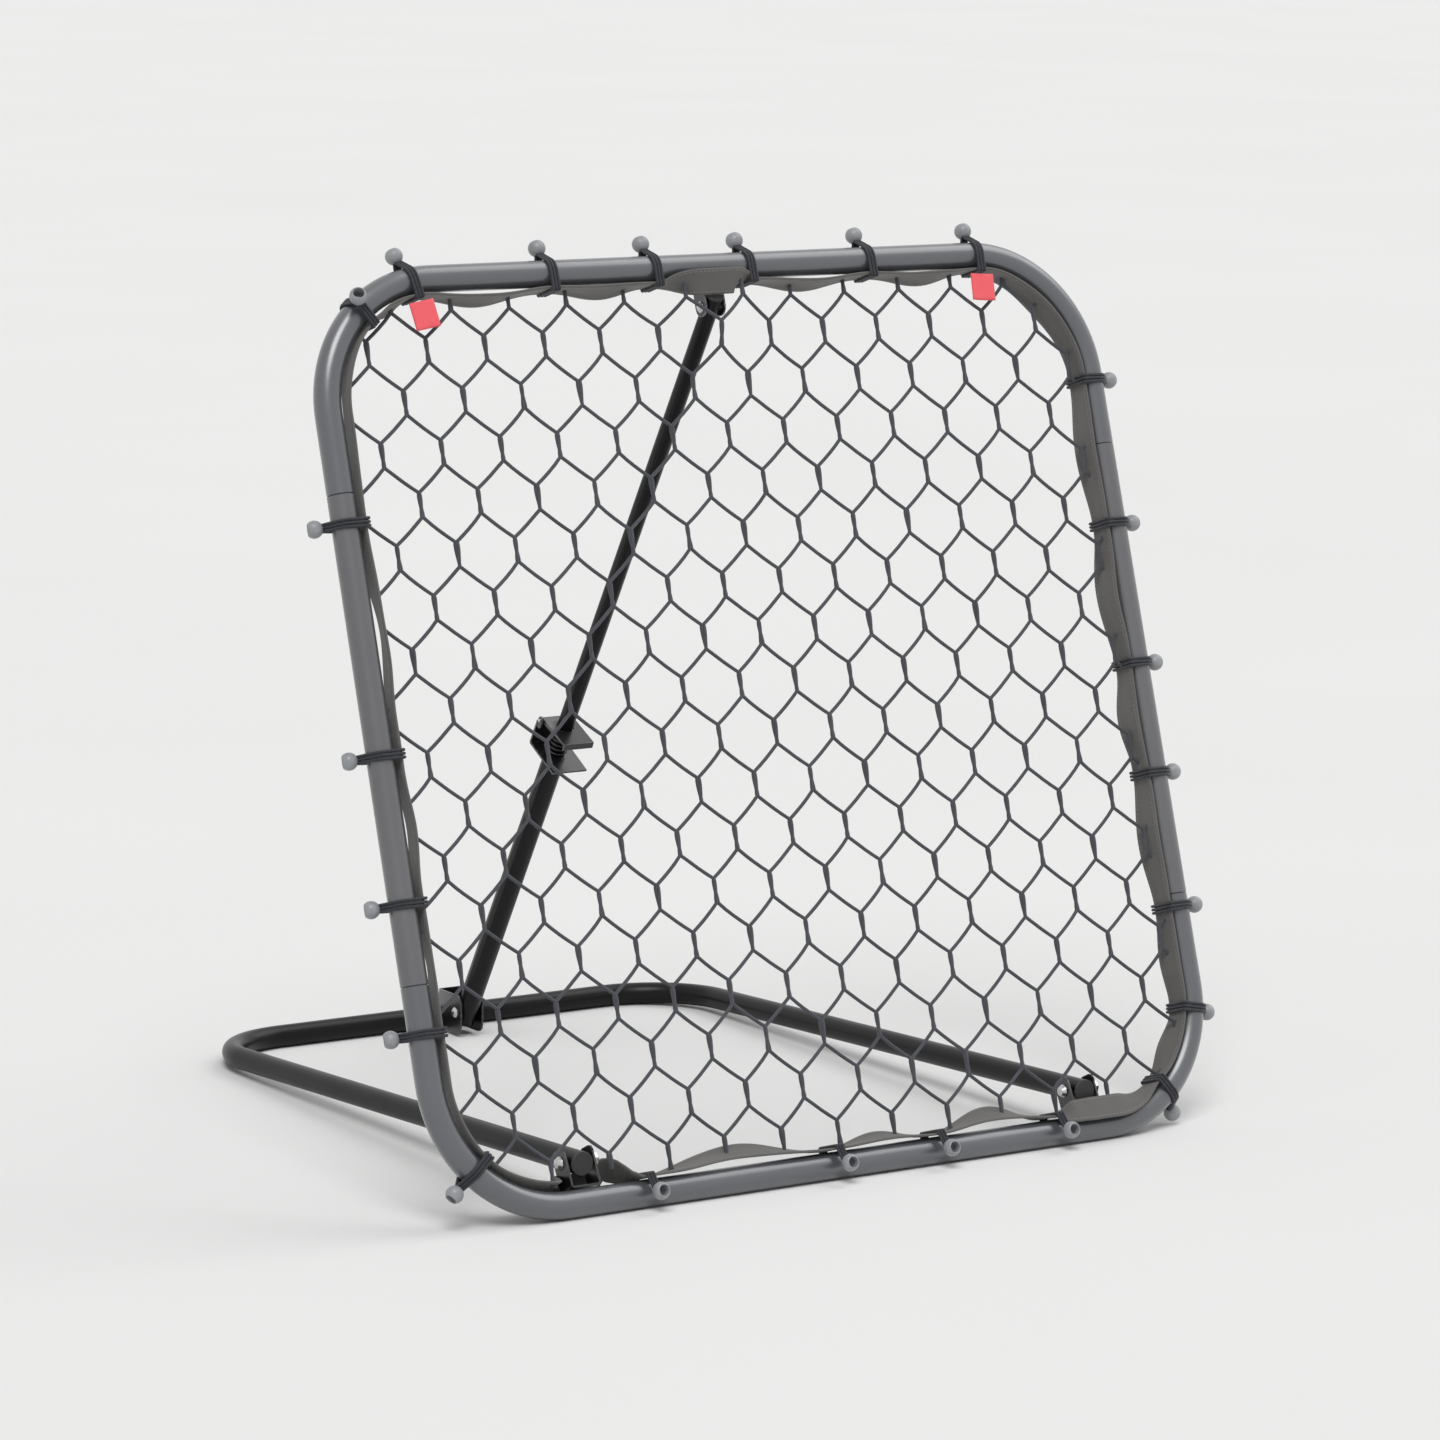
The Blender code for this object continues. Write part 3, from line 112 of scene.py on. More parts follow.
# Where the band leaves the frame's plane: (x on the bottom or top tube, inwards, forwards, twist in degrees)
BAND_PAST_LEFT_BRACKET = ((-0.240, 0.026, -0.018, -55), (-0.2575, 0.0142, -0.0265, -85),
                          (-0.2835, 0.0142, -0.0265, -85), (-0.308, 0.0165, -0.006, -20))
BAND_PAST_RIGHT_BRACKET = ((0.250, 0.0165, 0.0125, 52), (0.270, 0.0165, 0.0145, 60),
                           (0.290, 0.0165, 0.0145, 60))
BAND_PAST_TOP_BRACKET = ((-0.020, 0.0165, 0.0165, 60), (0.018, 0.0165, 0.0165, 60))

# Where the net stands forward, to pass the strut's bracket. The last two are distances below the top tube
NET_BULGE = 0.0165
NET_BULGE_HALF_WIDTH = 0.085
NET_BULGE_START = 0.110
NET_BULGE_FULL = 0.045

# Sizes that only the looks have. CLEAR keeps neighbours apart, and CUTTER_PAST is how far a cutter reaches
# past what it cuts
FINE_SIDES = 40
BEND_STEPS = 30
CLEAR = 0.0001
CUTTER_PAST = 0.002
SEAM_BEVEL = 0.0006
PLATE_ROUNDING = 0.0004
FASTENER_ROUNDING = 0.0003
STRAND = 0.0034
STRAND_APART = 0.0008
STRAND_SLACK = 0.0006
STRAND_SAG = 0.0008
BAR_STEPS = 7
BUNGEE_STRAND = 0.0027
BUNGEE_SPREAD = 0.0005
GROUND_WRAP = radians(24)
BALL_MOUTH = 0.0048
BALL_LIP = 0.0005
TAG_THICKNESS = 0.0008
TAG_BOW = 0.0010

# The band's looks: the lengths of its steps and its outline's, its thickness in the middle and at the hems,
# and its waves between two bungees, as shares of their distance and as turns. The low ones are on the bottom
# tube. The uneven ones are how much smaller a wave is on average, as a share, and twice that is the most
BAND_STEP = 0.005
OUTLINE_STEP = 0.004
BAND_MIDDLE = 0.0018
BAND_HEM = 0.0024
BAND_WAVE = 0.050
BAND_WAVE_LOW = 0.095
BAND_WAVE_UNEVEN = 0.25
BAND_TURN = radians(20)
BAND_TURN_LOW = radians(32)
BAND_TURN_UNEVEN = 0.2
BAND_RIPPLE = radians(2.5)
RIPPLES = 41
RIPPLE_PATCHES = 3

# Weaves and stitches: lengths of one repeat, and the stitches' distance from the band's middle
NET_BRAID = 0.0022
ELASTIC_BRAID = 0.0012
BAND_RIB = 0.0014
BAND_TWILL = 0.0022
STITCH_PITCH = 0.0042
STITCH_ROW = 0.0098
TAG_WEAVE = 0.0008

# Camera, floor and world. The focal length is in pixels of a picture as wide as given
FOCAL_LENGTH = 5616.04
PICTURE_WIDTH = 1440
SENSOR_WIDTH = 36
CAMERA_PLACE = (-2.76119, -3.9909, 1.22092)
CAMERA_YAW = -0.58116
CAMERA_PITCH = -0.16562
CAMERA_ROLL = 0.01275
CAMERA_FAR = 500
FLOOR_RADIUS = 150
WORLD_LIGHT = 0.36
WORLD_SEEN = 0.84

# Most of a noise's values lie between these
NOISE_LOW = 0.3
NOISE_HIGH = 0.7

# Places that several pieces share. Distances along the frame's perimeter start at the bottom tube's middle
HALF_X = (FRAME_SIZE - FRAME_TUBE) / 2
FRAME_UP = FRAME_SIZE - FRAME_TUBE
FRAME_RADIUS = FRAME_TUBE / 2
FLAT_SHARE = cos(pi / TUBE_SIDES)
SEEN_RADIUS = FRAME_RADIUS * FLAT_SHARE
STRAIGHT_X = HALF_X - FRAME_CORNER
CORNER_ARC = FRAME_CORNER * pi / 2
SIDE_STRAIGHT = FRAME_UP - 2 * FRAME_CORNER
RIGHT_START = STRAIGHT_X + CORNER_ARC
TOP_START = RIGHT_START + SIDE_STRAIGHT + CORNER_ARC
LEFT_START = TOP_START + 2 * STRAIGHT_X + CORNER_ARC
BOTTOM_START = LEFT_START + SIDE_STRAIGHT + CORNER_ARC
PERIMETER = BOTTOM_START + STRAIGHT_X
SEAM_TOP = FRAME_SIZE - FRAME_RADIUS - TOP_SEAM_DROP
SEAM_LOW = BOTTOM_SEAM_RISE - FRAME_RADIUS
BAND_TIGHT = FRAME_RADIUS + 2 * GAP + BAND_THICKNESS / 2
NET_FIRST_ROW = -ceil(NET_BAR_UP / NET_ROW) - 1
NET_ROWS = ceil(FRAME_UP / NET_ROW) + 4
BASE_RADIUS = BASE_TUBE / 2 * FLAT_SHARE
BASE_SLOPE = asin((HINGE[1] - BASE_RADIUS) / BASE_DEPTH)
PLANE = Matrix.Translation((0, 0, SEEN_RADIUS)) @ Matrix.Rotation(-LEAN, 4, "X")
BASE_PLACE = Matrix.Translation((0, *HINGE)) @ Matrix.Rotation(-BASE_SLOPE, 4, "X")

# The frame's corners: (distance at its start, centre, outward angle at its start)
CORNERS = ((STRAIGHT_X, (STRAIGHT_X, FRAME_CORNER), -pi / 2),
           (RIGHT_START + SIDE_STRAIGHT, (STRAIGHT_X, FRAME_UP - FRAME_CORNER), 0),
           (TOP_START + 2 * STRAIGHT_X, (-STRAIGHT_X, FRAME_UP - FRAME_CORNER), pi / 2),
           (LEFT_START + SIDE_STRAIGHT, (-STRAIGHT_X, FRAME_CORNER), pi))

# CAD nodes whose shape stays, or is copied with rounded edges
PLATES = ("hinge_bracket_left", "hinge_bracket_right", "strut_top_bracket", "foot_bracket",
          "adjuster_bracket", "lock_plate")
STRUT_TUBES = ("strut_upper_tube", "strut_lower_tube")
FASTENERS = ("hinge_bolt_left", "hinge_bolt_right", "hinge_nut_left", "hinge_nut_right",
             "strut_top_rivet", "foot_rivet")
PLASTIC_NODES = ("arm_plug_left", "arm_plug_right", "strut_upper_plug", "strut_guide_bush",
                 "strut_inner_slider")


# Camera, floor and light

def new_object(name, data):
    made = bpy.data.objects.new(name, data)
    bpy.context.scene.collection.objects.link(made)
    return made


def make_camera():
    data = bpy.data.cameras.new("camera")
    data.sensor_width = SENSOR_WIDTH
    data.lens = FOCAL_LENGTH * SENSOR_WIDTH / PICTURE_WIDTH
    data.clip_end = CAMERA_FAR
    ahead = Vector((sin(-CAMERA_YAW) * cos(CAMERA_PITCH), cos(CAMERA_YAW) * cos(CAMERA_PITCH),
                    sin(CAMERA_PITCH)))
    right = ahead.cross(Vector((0, 0, 1))).normalized()
    up = right.cross(ahead)
    right_rolled = right * cos(CAMERA_ROLL) + up * sin(CAMERA_ROLL)
    up_rolled = up * cos(CAMERA_ROLL) - right * sin(CAMERA_ROLL)
    turn = Matrix((right_rolled, up_rolled, -ahead)).transposed().to_4x4()
    camera = new_object("camera", data)
    camera.matrix_world = Matrix.Translation(CAMERA_PLACE) @ turn
    bpy.context.scene.camera = camera


def make_world():
    """A soft white studio. What the camera sees of it, directly or in a mirror or glass, is brighter than its
    light on the object."""
    world = bpy.data.worlds.new("studio")
    bpy.context.scene.world = world
    world.use_nodes = True
    tree = world.node_tree
    background = tree.nodes["Background"]
    background.inputs["Color"].default_value = (1, 1, 1, 1)
    path = node(tree, "LightPath")
    seen = calculate(tree, "MAXIMUM", path.outputs["Is Camera Ray"], path.outputs["Is Glossy Ray"])
    seen = calculate(tree, "MAXIMUM", seen, path.outputs["Is Transmission Ray"])
    level(tree, seen, WORLD_LIGHT, WORLD_SEEN, background.inputs["Strength"], start=0, end=1)


def make_sun(name, towards, strength, angle):
    """A soft sun, as wide as the angle in degrees. Towards it is a direction."""
    data = bpy.data.lights.new(name, "SUN")
    data.energy = strength
    data.angle = radians(angle)
    sun = new_object(name, data)
    sun.rotation_euler = (-Vector(towards)).to_track_quat("-Z", "Y").to_euler()


def make_floor():
    mesh = bpy.data.meshes.new("floor")
    work = bmesh.new()
    bmesh.ops.create_circle(work, cap_ends=True, radius=FLOOR_RADIUS, segments=64)
    work.to_mesh(mesh)
    work.free()
    floor = new_object("floor", mesh)
    made, tree, shader = new_material("floor_matt", Roughness=0.9, Specular_IOR_Level=0.1)
    drift = noise(tree, scale=0.8, detail=2)
    two_tone(tree, drift, (0.825, 0.825, 0.82), (0.84, 0.84, 0.835), shader.inputs["Base Color"])
    mesh.materials.append(made)


# Nodes of materials

def set_values(made, values):
    """Sets a node's inputs by name, or its own settings where no input has the name."""
    for key, value in values.items():
        name = key.replace("_", " ")
        if name in made.inputs:
            made.inputs[name].default_value = value
        else:
            setattr(made, key, value)


def node(tree, kind, **values):
    made = tree.nodes.new("ShaderNode" + kind)
    set_values(made, values)
    return made


def new_material(name, **values):
    """(material, its tree, its shader), with values for the shader's inputs."""
    made = bpy.data.materials.new(name)
    made.use_nodes = True
    tree = made.node_tree
    shader = tree.nodes["Principled BSDF"]
    set_values(shader, values)
    return made, tree, shader


def noise(tree, scale, detail, stretch=None):
    """A noise's value from 0 to 1. The scale is per metre, and stretch multiplies it along X, Y and Z."""
    texture = node(tree, "TexNoise", Scale=scale, Detail=detail)
    source = node(tree, "TexCoord").outputs["Object"]
    if stretch:
        mapping = node(tree, "Mapping", Scale=stretch)
        tree.links.new(source, mapping.inputs["Vector"])
        source = mapping.outputs["Vector"]
    tree.links.new(source, texture.inputs["Vector"])
    return texture.outputs["Fac"]


def uv_metres(tree):
    """The two UV coordinates, which are metres along and across or around."""
    split = node(tree, "SeparateXYZ")
    tree.links.new(node(tree, "TexCoord").outputs["UV"], split.inputs[0])
    return split.outputs[0], split.outputs[1]


def calculate(tree, operation, *values):
    """A Math node's result. Each value is a number or a socket."""
    made = node(tree, "Math", operation=operation)
    for socket, value in zip(made.inputs, values):
        if isinstance(value, (int, float)):
            socket.default_value = value
        else:
            tree.links.new(value, socket)
    return made.outputs[0]


def waves(tree, distance, period):
    """A sine, from -1 to 1, with one wave for each period of the distance."""
    return calculate(tree, "SINE", calculate(tree, "MULTIPLY", distance, 2 * pi / period))


def level(tree, value, low, high, target=None, start=NOISE_LOW, end=NOISE_HIGH):
    """Maps a value between start and end to low and high."""
    mapped = node(tree, "MapRange", From_Min=start, From_Max=end, To_Min=low, To_Max=high)
    tree.links.new(value, mapped.inputs["Value"])
    if target:
        tree.links.new(mapped.outputs["Result"], target)
    return mapped.outputs["Result"]


def two_tone(tree, value, first, second, target=None):
    """A colour that goes from first to second over most of a noise's values."""
    ramp = node(tree, "ValToRGB")
    for element, place, colour in zip(ramp.color_ramp.elements, (NOISE_LOW, NOISE_HIGH), (first, second)):
        element.position = place
        element.color = (*colour, 1)
    tree.links.new(value, ramp.inputs["Fac"])
    if target:
        tree.links.new(ramp.outputs["Color"], target)
    return ramp.outputs["Color"]


def mixed_colour(tree, share, first, second, target=None):
    """A colour from first to second. Each is a colour or a socket."""
    made = node(tree, "Mix", data_type="RGBA")
    tree.links.new(share, made.inputs[0])
    for socket, value in ((made.inputs[6], first), (made.inputs[7], second)):
        if isinstance(value, tuple):
            socket.default_value = (*value, 1)
        else:
            tree.links.new(value, socket)
    if target:
        tree.links.new(made.outputs[2], target)
    return made.outputs[2]


def scaled(colour, factor):
    return tuple(value * factor for value in colour)


def cloudy(tree, colour, dark, light, scale, detail, target=None):
    """A colour that drifts between two shares of itself."""
    drift = noise(tree, scale, detail)
    return two_tone(tree, drift, scaled(colour, dark), scaled(colour, light), target)


def uneven_gloss(tree, shader, low, high, scale, detail):
    """Roughness that drifts between low and high."""
    level(tree, noise(tree, scale, detail), low, high, shader.inputs["Roughness"])


def bump(tree, shader, height, distance):
    made = node(tree, "Bump", Strength=1.0, Distance=distance)
    tree.links.new(height, made.inputs["Height"])
    tree.links.new(made.outputs["Normal"], shader.inputs["Normal"])


# Materials

def enamel(name, colour, roughness, specular, coat):
    """Sprayed enamel: cloudy gloss and a fine orange peel."""
    made, tree, shader = new_material(name, Specular_IOR_Level=specular, Coat_Weight=coat,
                                      Coat_Roughness=0.22)
    cloudy(tree, colour, 0.93, 1.07, scale=9, detail=4, target=shader.inputs["Base Color"])
    gloss = noise(tree, scale=22, detail=2)
    level(tree, gloss, roughness - 0.05, roughness + 0.05, shader.inputs["Roughness"], start=0.2, end=0.8)
    bump(tree, shader, noise(tree, scale=1400, detail=1), distance=0.000012)
    return made


def painted_edge_highlight(name, paint, metal):
    """Paint with a light grey in patches, for the rounded edges of plates: the grey, given as metal, is a
    painted highlight along the edges.
    """
    made, tree, shader = new_material(name)
    patches = level(tree, noise(tree, scale=240, detail=4), 0, 1, start=0.40, end=0.56)
    mixed_colour(tree, patches, paint, metal, shader.inputs["Base Color"])
    level(tree, patches, 0.36, 0.28, shader.inputs["Roughness"], start=0, end=1)
    bump(tree, shader, patches, distance=-0.00003)
    return made


def plated(name, colour, roughness):
    """Plated or bare metal with fine streaks along Z."""
    made, tree, shader = new_material(name, Metallic=1.0)
    streaks = noise(tree, scale=500, detail=3, stretch=(1, 1, 0.1))
    two_tone(tree, streaks, scaled(colour, 0.8), colour, shader.inputs["Base Color"])
    uneven_gloss(tree, shader, roughness - 0.08, roughness + 0.1, scale=250, detail=3)
    bump(tree, shader, streaks, distance=0.00003)
    return made


def moulded(name, colour, roughness):
    """Moulded plastic with a fine grain and slightly uneven gloss."""
    made, tree, shader = new_material(name, Specular_IOR_Level=0.4)
    cloudy(tree, colour, 0.88, 1.08, scale=120, detail=4, target=shader.inputs["Base Color"])
    uneven_gloss(tree, shader, roughness - 0.06, roughness + 0.08, scale=300, detail=3)
    bump(tree, shader, noise(tree, scale=700, detail=2), distance=0.00005)
    return made


def corded(name, colour, braid, roughness, depth):
    """Braided cord: ridges in two directions, painted shade between them, with a soft sheen."""
    made, tree, shader = new_material(name, Sheen_Weight=0.15, Specular_IOR_Level=0.3)
    along, around = uv_metres(tree)
    rising = waves(tree, calculate(tree, "ADD", along, around), braid)
    falling = waves(tree, calculate(tree, "SUBTRACT", along, around), braid)
    ridged = level(tree, calculate(tree, "MAXIMUM", rising, falling), 0, 1, start=-0.6, end=1)
    tone = cloudy(tree, colour, 0.86, 1.12, scale=25, detail=4)
    # Darker between the ridges: painted shade in the braid's grooves.
    mixed_colour(tree, ridged, scaled(colour, 0.6), tone, shader.inputs["Base Color"])
    uneven_gloss(tree, shader, roughness - 0.06, roughness + 0.06, scale=400, detail=2)
    bump(tree, shader, ridged, depth)
    return made


def stitches(tree, along, across):
    """1 on the dashes of a row near each edge of the band, and 0 elsewhere."""
    from_middle = calculate(tree, "ABSOLUTE", across)
    from_row = calculate(tree, "ABSOLUTE", calculate(tree, "SUBTRACT", from_middle, STITCH_ROW))
    on_row = level(tree, from_row, 1, 0, start=0.0002, end=0.0006)
    share = calculate(tree, "FRACT", calculate(tree, "DIVIDE", along, STITCH_PITCH))
    from_dash = calculate(tree, "ABSOLUTE", calculate(tree, "SUBTRACT", share, 0.5))
    return calculate(tree, "MULTIPLY", on_row, level(tree, from_dash, 1, 0, start=0.30, end=0.38))


def webbing(name, colour, thread):
    """Woven tape: ribs across it, a twill over them, painted shade in the weave's hollows, and a row of
    stitches near each edge.
    """
    made, tree, shader = new_material(name, Sheen_Weight=0.2, Specular_IOR_Level=0.25)
    along, across = uv_metres(tree)
    ribs = waves(tree, along, BAND_RIB)
    twill = waves(tree, calculate(tree, "ADD", along, across), BAND_TWILL)
    weave = calculate(tree, "MULTIPLY", calculate(tree, "ADD", ribs, twill), 0.5)
    stitch = stitches(tree, along, across)
    tone = cloudy(tree, colour, 0.85, 1.12, scale=18, detail=5)
    # Darker where the weave is low: painted shade in its hollows.
    woven = mixed_colour(tree, level(tree, weave, 0, 1, start=-0.8, end=0.8), scaled(colour, 0.72), tone)
    mixed_colour(tree, stitch, woven, thread, shader.inputs["Base Color"])
    uneven_gloss(tree, shader, 0.72, 0.86, scale=300, detail=3)
    height = calculate(tree, "ADD", calculate(tree, "MULTIPLY", weave, 0.3),
                       calculate(tree, "MULTIPLY", stitch, 1.2))
    bump(tree, shader, height, distance=0.0002)
    return made


def label_cloth(name, colour):
    """Plain coated nylon with a fine square weave, and painted shade in the weave's hollows."""
    made, tree, shader = new_material(name, Sheen_Weight=0.2)
    along, across = uv_metres(tree)
    weave = calculate(tree, "MULTIPLY", waves(tree, along, TAG_WEAVE), waves(tree, across, TAG_WEAVE))
    tone = cloudy(tree, colour, 0.95, 1, scale=60, detail=3)
    raised = level(tree, weave, 0, 1, start=-1, end=1)
    # Darker where the weave is low: painted shade in its hollows.
    mixed_colour(tree, raised, scaled(colour, 0.93), tone, shader.inputs["Base Color"])
    uneven_gloss(tree, shader, 0.55, 0.68, scale=200, detail=2)
    bump(tree, shader, weave, distance=0.00008)
    return made


FRAME_ENAMEL = enamel("frame_enamel", (0.082, 0.083, 0.089), roughness=0.36, specular=0.9, coat=0.65)
# The bends' enamel is the legs' enamel made bluer and slightly darker: painted sky reflection, as bends and
# legs are one paint.
BEND_ENAMEL_PAINTED_SKY_TINT = enamel("bend_enamel_painted_sky_tint", (0.070, 0.074, 0.085), roughness=0.34, specular=0.9, coat=0.85)
BLACK_ENAMEL = enamel("black_enamel", (0.003, 0.003, 0.0035), roughness=0.34, specular=0.16, coat=0.16)
BLACK_PLATE = enamel("black_plate", (0.006, 0.006, 0.007), roughness=0.32, specular=0.5, coat=0.5)
# Light grey in patches on the plates' rounded edges: painted highlight.
PLATE_EDGE_HIGHLIGHT = painted_edge_highlight("plate_edge_painted_highlight", (0.020, 0.020, 0.022), (0.30, 0.30, 0.32))
SPRING_STEEL = plated("spring_steel", (0.085, 0.085, 0.09), roughness=0.34)
ZINC = plated("zinc_plate", (0.62, 0.62, 0.63), roughness=0.28)
# Near black inside the ball's mouth, on its bore and the cord's knot: painted shade in the hole.
MOUTH_PAINTED_SHADE = moulded("mouth_painted_shade", (0.006, 0.006, 0.006), roughness=0.75)
DARK_PLASTIC = moulded("dark_plastic", (0.028, 0.028, 0.027), roughness=0.5)
BALL_PLASTIC = moulded("ball_plastic", (0.30, 0.31, 0.325), roughness=0.32)
NET_CORD = corded("net_cord", (0.076, 0.081, 0.093), NET_BRAID, roughness=0.72, depth=0.00018)
ELASTIC = corded("elastic_cord", (0.034, 0.036, 0.045), ELASTIC_BRAID, roughness=0.55, depth=0.00015)
WEBBING = webbing("band_webbing", (0.150, 0.146, 0.140), thread=(0.20, 0.195, 0.185))
TAG_RED = label_cloth("tag_red", (1.0, 0.115, 0.14))


# Making pieces

def smooth(mesh, angle):
    """Smooths all edges but those sharper than the angle, in degrees."""
    mesh.shade_smooth()
    mesh.set_sharp_from_angle(angle=radians(angle))


def piece(name, mesh, paint, body, replaced, angle=40):
    """An object that rides on a body and stands for a CAD node."""
    made = new_object(name, mesh)
    mesh.materials.clear()
    mesh.materials.append(paint)
    smooth(mesh, angle)
    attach(made, body)
    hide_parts(replaced)
    return made


def polar(radius, angle):
    return (radius * cos(angle), radius * sin(angle))


def circle(radius, sides):
    return [polar(radius, 2 * pi * i / sides) for i in range(sides)]


def arc(centre, radius, start, end, steps):
    return [(centre[0] + radius * cos(start + (end - start) * i / steps),
             centre[1] + radius * sin(start + (end - start) * i / steps)) for i in range(steps + 1)]


def distances_round(row):
    """Distances from a closed row's first point to each point, and to the first again."""
    total, made = 0.0, [0.0]
    for a, b in zip(row, row[1:] + row[:1]):
        total += hypot(b[0] - a[0], b[1] - a[1])
        made.append(total)
    return made


def add_ring(work, before, point, after, row, normal):
    """One section of a sweep, square to its path."""
    tangent = (after - before).normalized()
    side = tangent.cross(normal).normalized()
    up = side.cross(tangent)
    return [work.verts.new(point + side * a + up * b) for a, b in row]


def add_sweep(work, points, rows, normal, closed=False, across=None):
    """Adds a solid along points to a bmesh. Each row is a closed section of (sideways, along the normal), one
    for each point. Its UVs are metres along and around, or the distances given as across."""
    uv = work.loops.layers.uv.verify()
    count, sides = len(points), len(rows[0])
    across = across or distances_round(rows[0])
    rings, along = [], [0.0]
    for i, point in enumerate(points):
        before = points[i - 1] if i or closed else point
        after = points[(i + 1) % count] if i < count - 1 or closed else point
        rings.append(add_ring(work, before, point, after, rows[i], Vector(normal)))
        along.append(along[-1] + (points[(i + 1) % count] - point).length)
    for i in range(count if closed else count - 1):
        first, second = rings[i], rings[(i + 1) % count]
        for j in range(sides):
            k = (j + 1) % sides
            face = work.faces.new((first[j], first[k], second[k], second[j]))
            places = ((i, j), (i, j + 1), (i + 1, j + 1), (i + 1, j))
            for loop, (a, b) in zip(face.loops, places):
                loop[uv].uv = (along[a], across[b])
    if not closed:
        work.faces.new(reversed(rings[0]))
        work.faces.new(rings[-1])


def finished(name, work, place=None):
    bmesh.ops.recalc_face_normals(work, faces=work.faces)
    mesh = bpy.data.meshes.new(name)
    work.to_mesh(mesh)
    work.free()
    if place:
        mesh.transform(place)
    return mesh


def sweep(name, points, rows, normal, place, closed=False, across=None):
    work = bmesh.new()
    add_sweep(work, points, rows, normal, closed, across)
    return finished(name, work, place)


def turned(name, profile, sides, second_until):
    """A closed solid turned about Z from (radius, height), which starts and ends on the axis. Its faces up to
    the numbered point have the second material."""
    work = bmesh.new()
    rings = []
    for radius, height in profile:
        around = circle(radius, sides) if radius else [(0, 0)]
        rings.append([work.verts.new((x, y, height)) for x, y in around])
    for number, (first, second) in enumerate(zip(rings, rings[1:])):
        for i in range(sides):
            k = (i + 1) % sides
            corners = [first[i % len(first)], second[i % len(second)],
                       second[k % len(second)], first[k % len(first)]]
            face = work.faces.new(list(dict.fromkeys(corners)))
            face.material_index = int(number < second_until)
    return finished(name, work)


def subtract(obj, cutter_mesh):
    """Cuts a mesh away from an object for good."""
    cutter = new_object("cutter", cutter_mesh)
    modifier = obj.modifiers.new("cut", "BOOLEAN")
    modifier.object = cutter
    modifier.solver = "EXACT"
    bpy.context.view_layer.update()
    cut = bpy.data.meshes.new_from_object(obj.evaluated_get(bpy.context.evaluated_depsgraph_get()))
    obj.modifiers.clear()
    obj.data = cut
    bpy.data.objects.remove(cutter)


# Tubes

def bevelled_tube(name, path):
    """A tube of the frame along (x, up) points, with its ends slightly bevelled, so that a seam shows."""
    points = [Vector((x, 0, up)) for x, up in path]
    first_in = points[0] + (points[1] - points[0]).normalized() * SEAM_BEVEL
    last_in = points[-1] + (points[-2] - points[-1]).normalized() * SEAM_BEVEL
    points = [points[0], first_in] + points[1:-1] + [last_in, points[-1]]
    end = circle(SEEN_RADIUS - SEAM_BEVEL, FINE_SIDES)
    rows = [end] + [circle(SEEN_RADIUS, FINE_SIDES)] * (len(points) - 2) + [end]
    return sweep(name, points, rows, (0, 1, 0), PLANE)


def frame_tubes():
    right, left = STRAIGHT_X, -STRAIGHT_X
    top_up = FRAME_UP - FRAME_CORNER
    top = ([(HALF_X, SEAM_TOP)] + arc((right, top_up), FRAME_CORNER, 0, pi / 2, BEND_STEPS)
           + arc((left, top_up), FRAME_CORNER, pi / 2, pi, BEND_STEPS) + [(-HALF_X, SEAM_TOP)])
    low = ([(-HALF_X, SEAM_LOW)] + arc((left, FRAME_CORNER), FRAME_CORNER, pi, 3 * pi / 2, BEND_STEPS)
           + arc((right, FRAME_CORNER), FRAME_CORNER, -pi / 2, 0, BEND_STEPS) + [(HALF_X, SEAM_LOW)])
    # The top and bottom tubes take the bluer copy of the enamel, which is painted sky reflection.
    tubes = (("top_tube", top, BEND_ENAMEL_PAINTED_SKY_TINT), ("bottom_tube", low, BEND_ENAMEL_PAINTED_SKY_TINT),
             ("left_tube", [(-HALF_X, SEAM_LOW + GAP), (-HALF_X, SEAM_TOP - GAP)], FRAME_ENAMEL),
             ("right_tube", [(HALF_X, SEAM_LOW + GAP), (HALF_X, SEAM_TOP - GAP)], FRAME_ENAMEL))
    for name, path, paint in tubes:
        piece(name, bevelled_tube(name, path), paint, "frame", "frame_" + name)


def base_bar(name, points, radius, sides):
    """A round bar in the base's own plane."""
    return sweep(name, points, [circle(radius, sides)] * len(points), (0, 0, 1), BASE_PLACE)


def base_tube():
    """The base's bent tube, with its bore and the holes for the hinge bolts."""
    inner, bend = BASE_HALF_WIDTH - BASE_CORNER, BASE_DEPTH - BASE_CORNER
    path = ([(BASE_HALF_WIDTH, -ARM_OVERHANG)] + arc((inner, bend), BASE_CORNER, 0, pi / 2, BEND_STEPS)
            + arc((-inner, bend), BASE_CORNER, pi / 2, pi, BEND_STEPS) + [(-BASE_HALF_WIDTH, -ARM_OVERHANG)])
    points = [Vector((x, y, 0)) for x, y in path]
    mesh = base_bar("base_bent_tube", points, BASE_RADIUS, FINE_SIDES)
    tube = piece("base_bent_tube", mesh, BLACK_ENAMEL, "base", "base_tube")
    past_end = Vector((0, CUTTER_PAST, 0))
    longer = [points[0] - past_end] + points[1:-1] + [points[-1] - past_end]
    subtract(tube, base_bar("bore", longer, BASE_RADIUS - BASE_WALL, 24))
    reach = BASE_TUBE / 2 + CUTTER_PAST
    for x in (-BASE_HALF_WIDTH, BASE_HALF_WIDTH):
        ends = [Vector((x - reach, 0, 0)), Vector((x + reach, 0, 0))]
        subtract(tube, base_bar("hole", ends, BOLT_HOLE / 2, 20))
    smooth(tube.data, 40)


# Perimeter of the frame: distances run anticlockwise, seen from the front, from the middle of the bottom tube

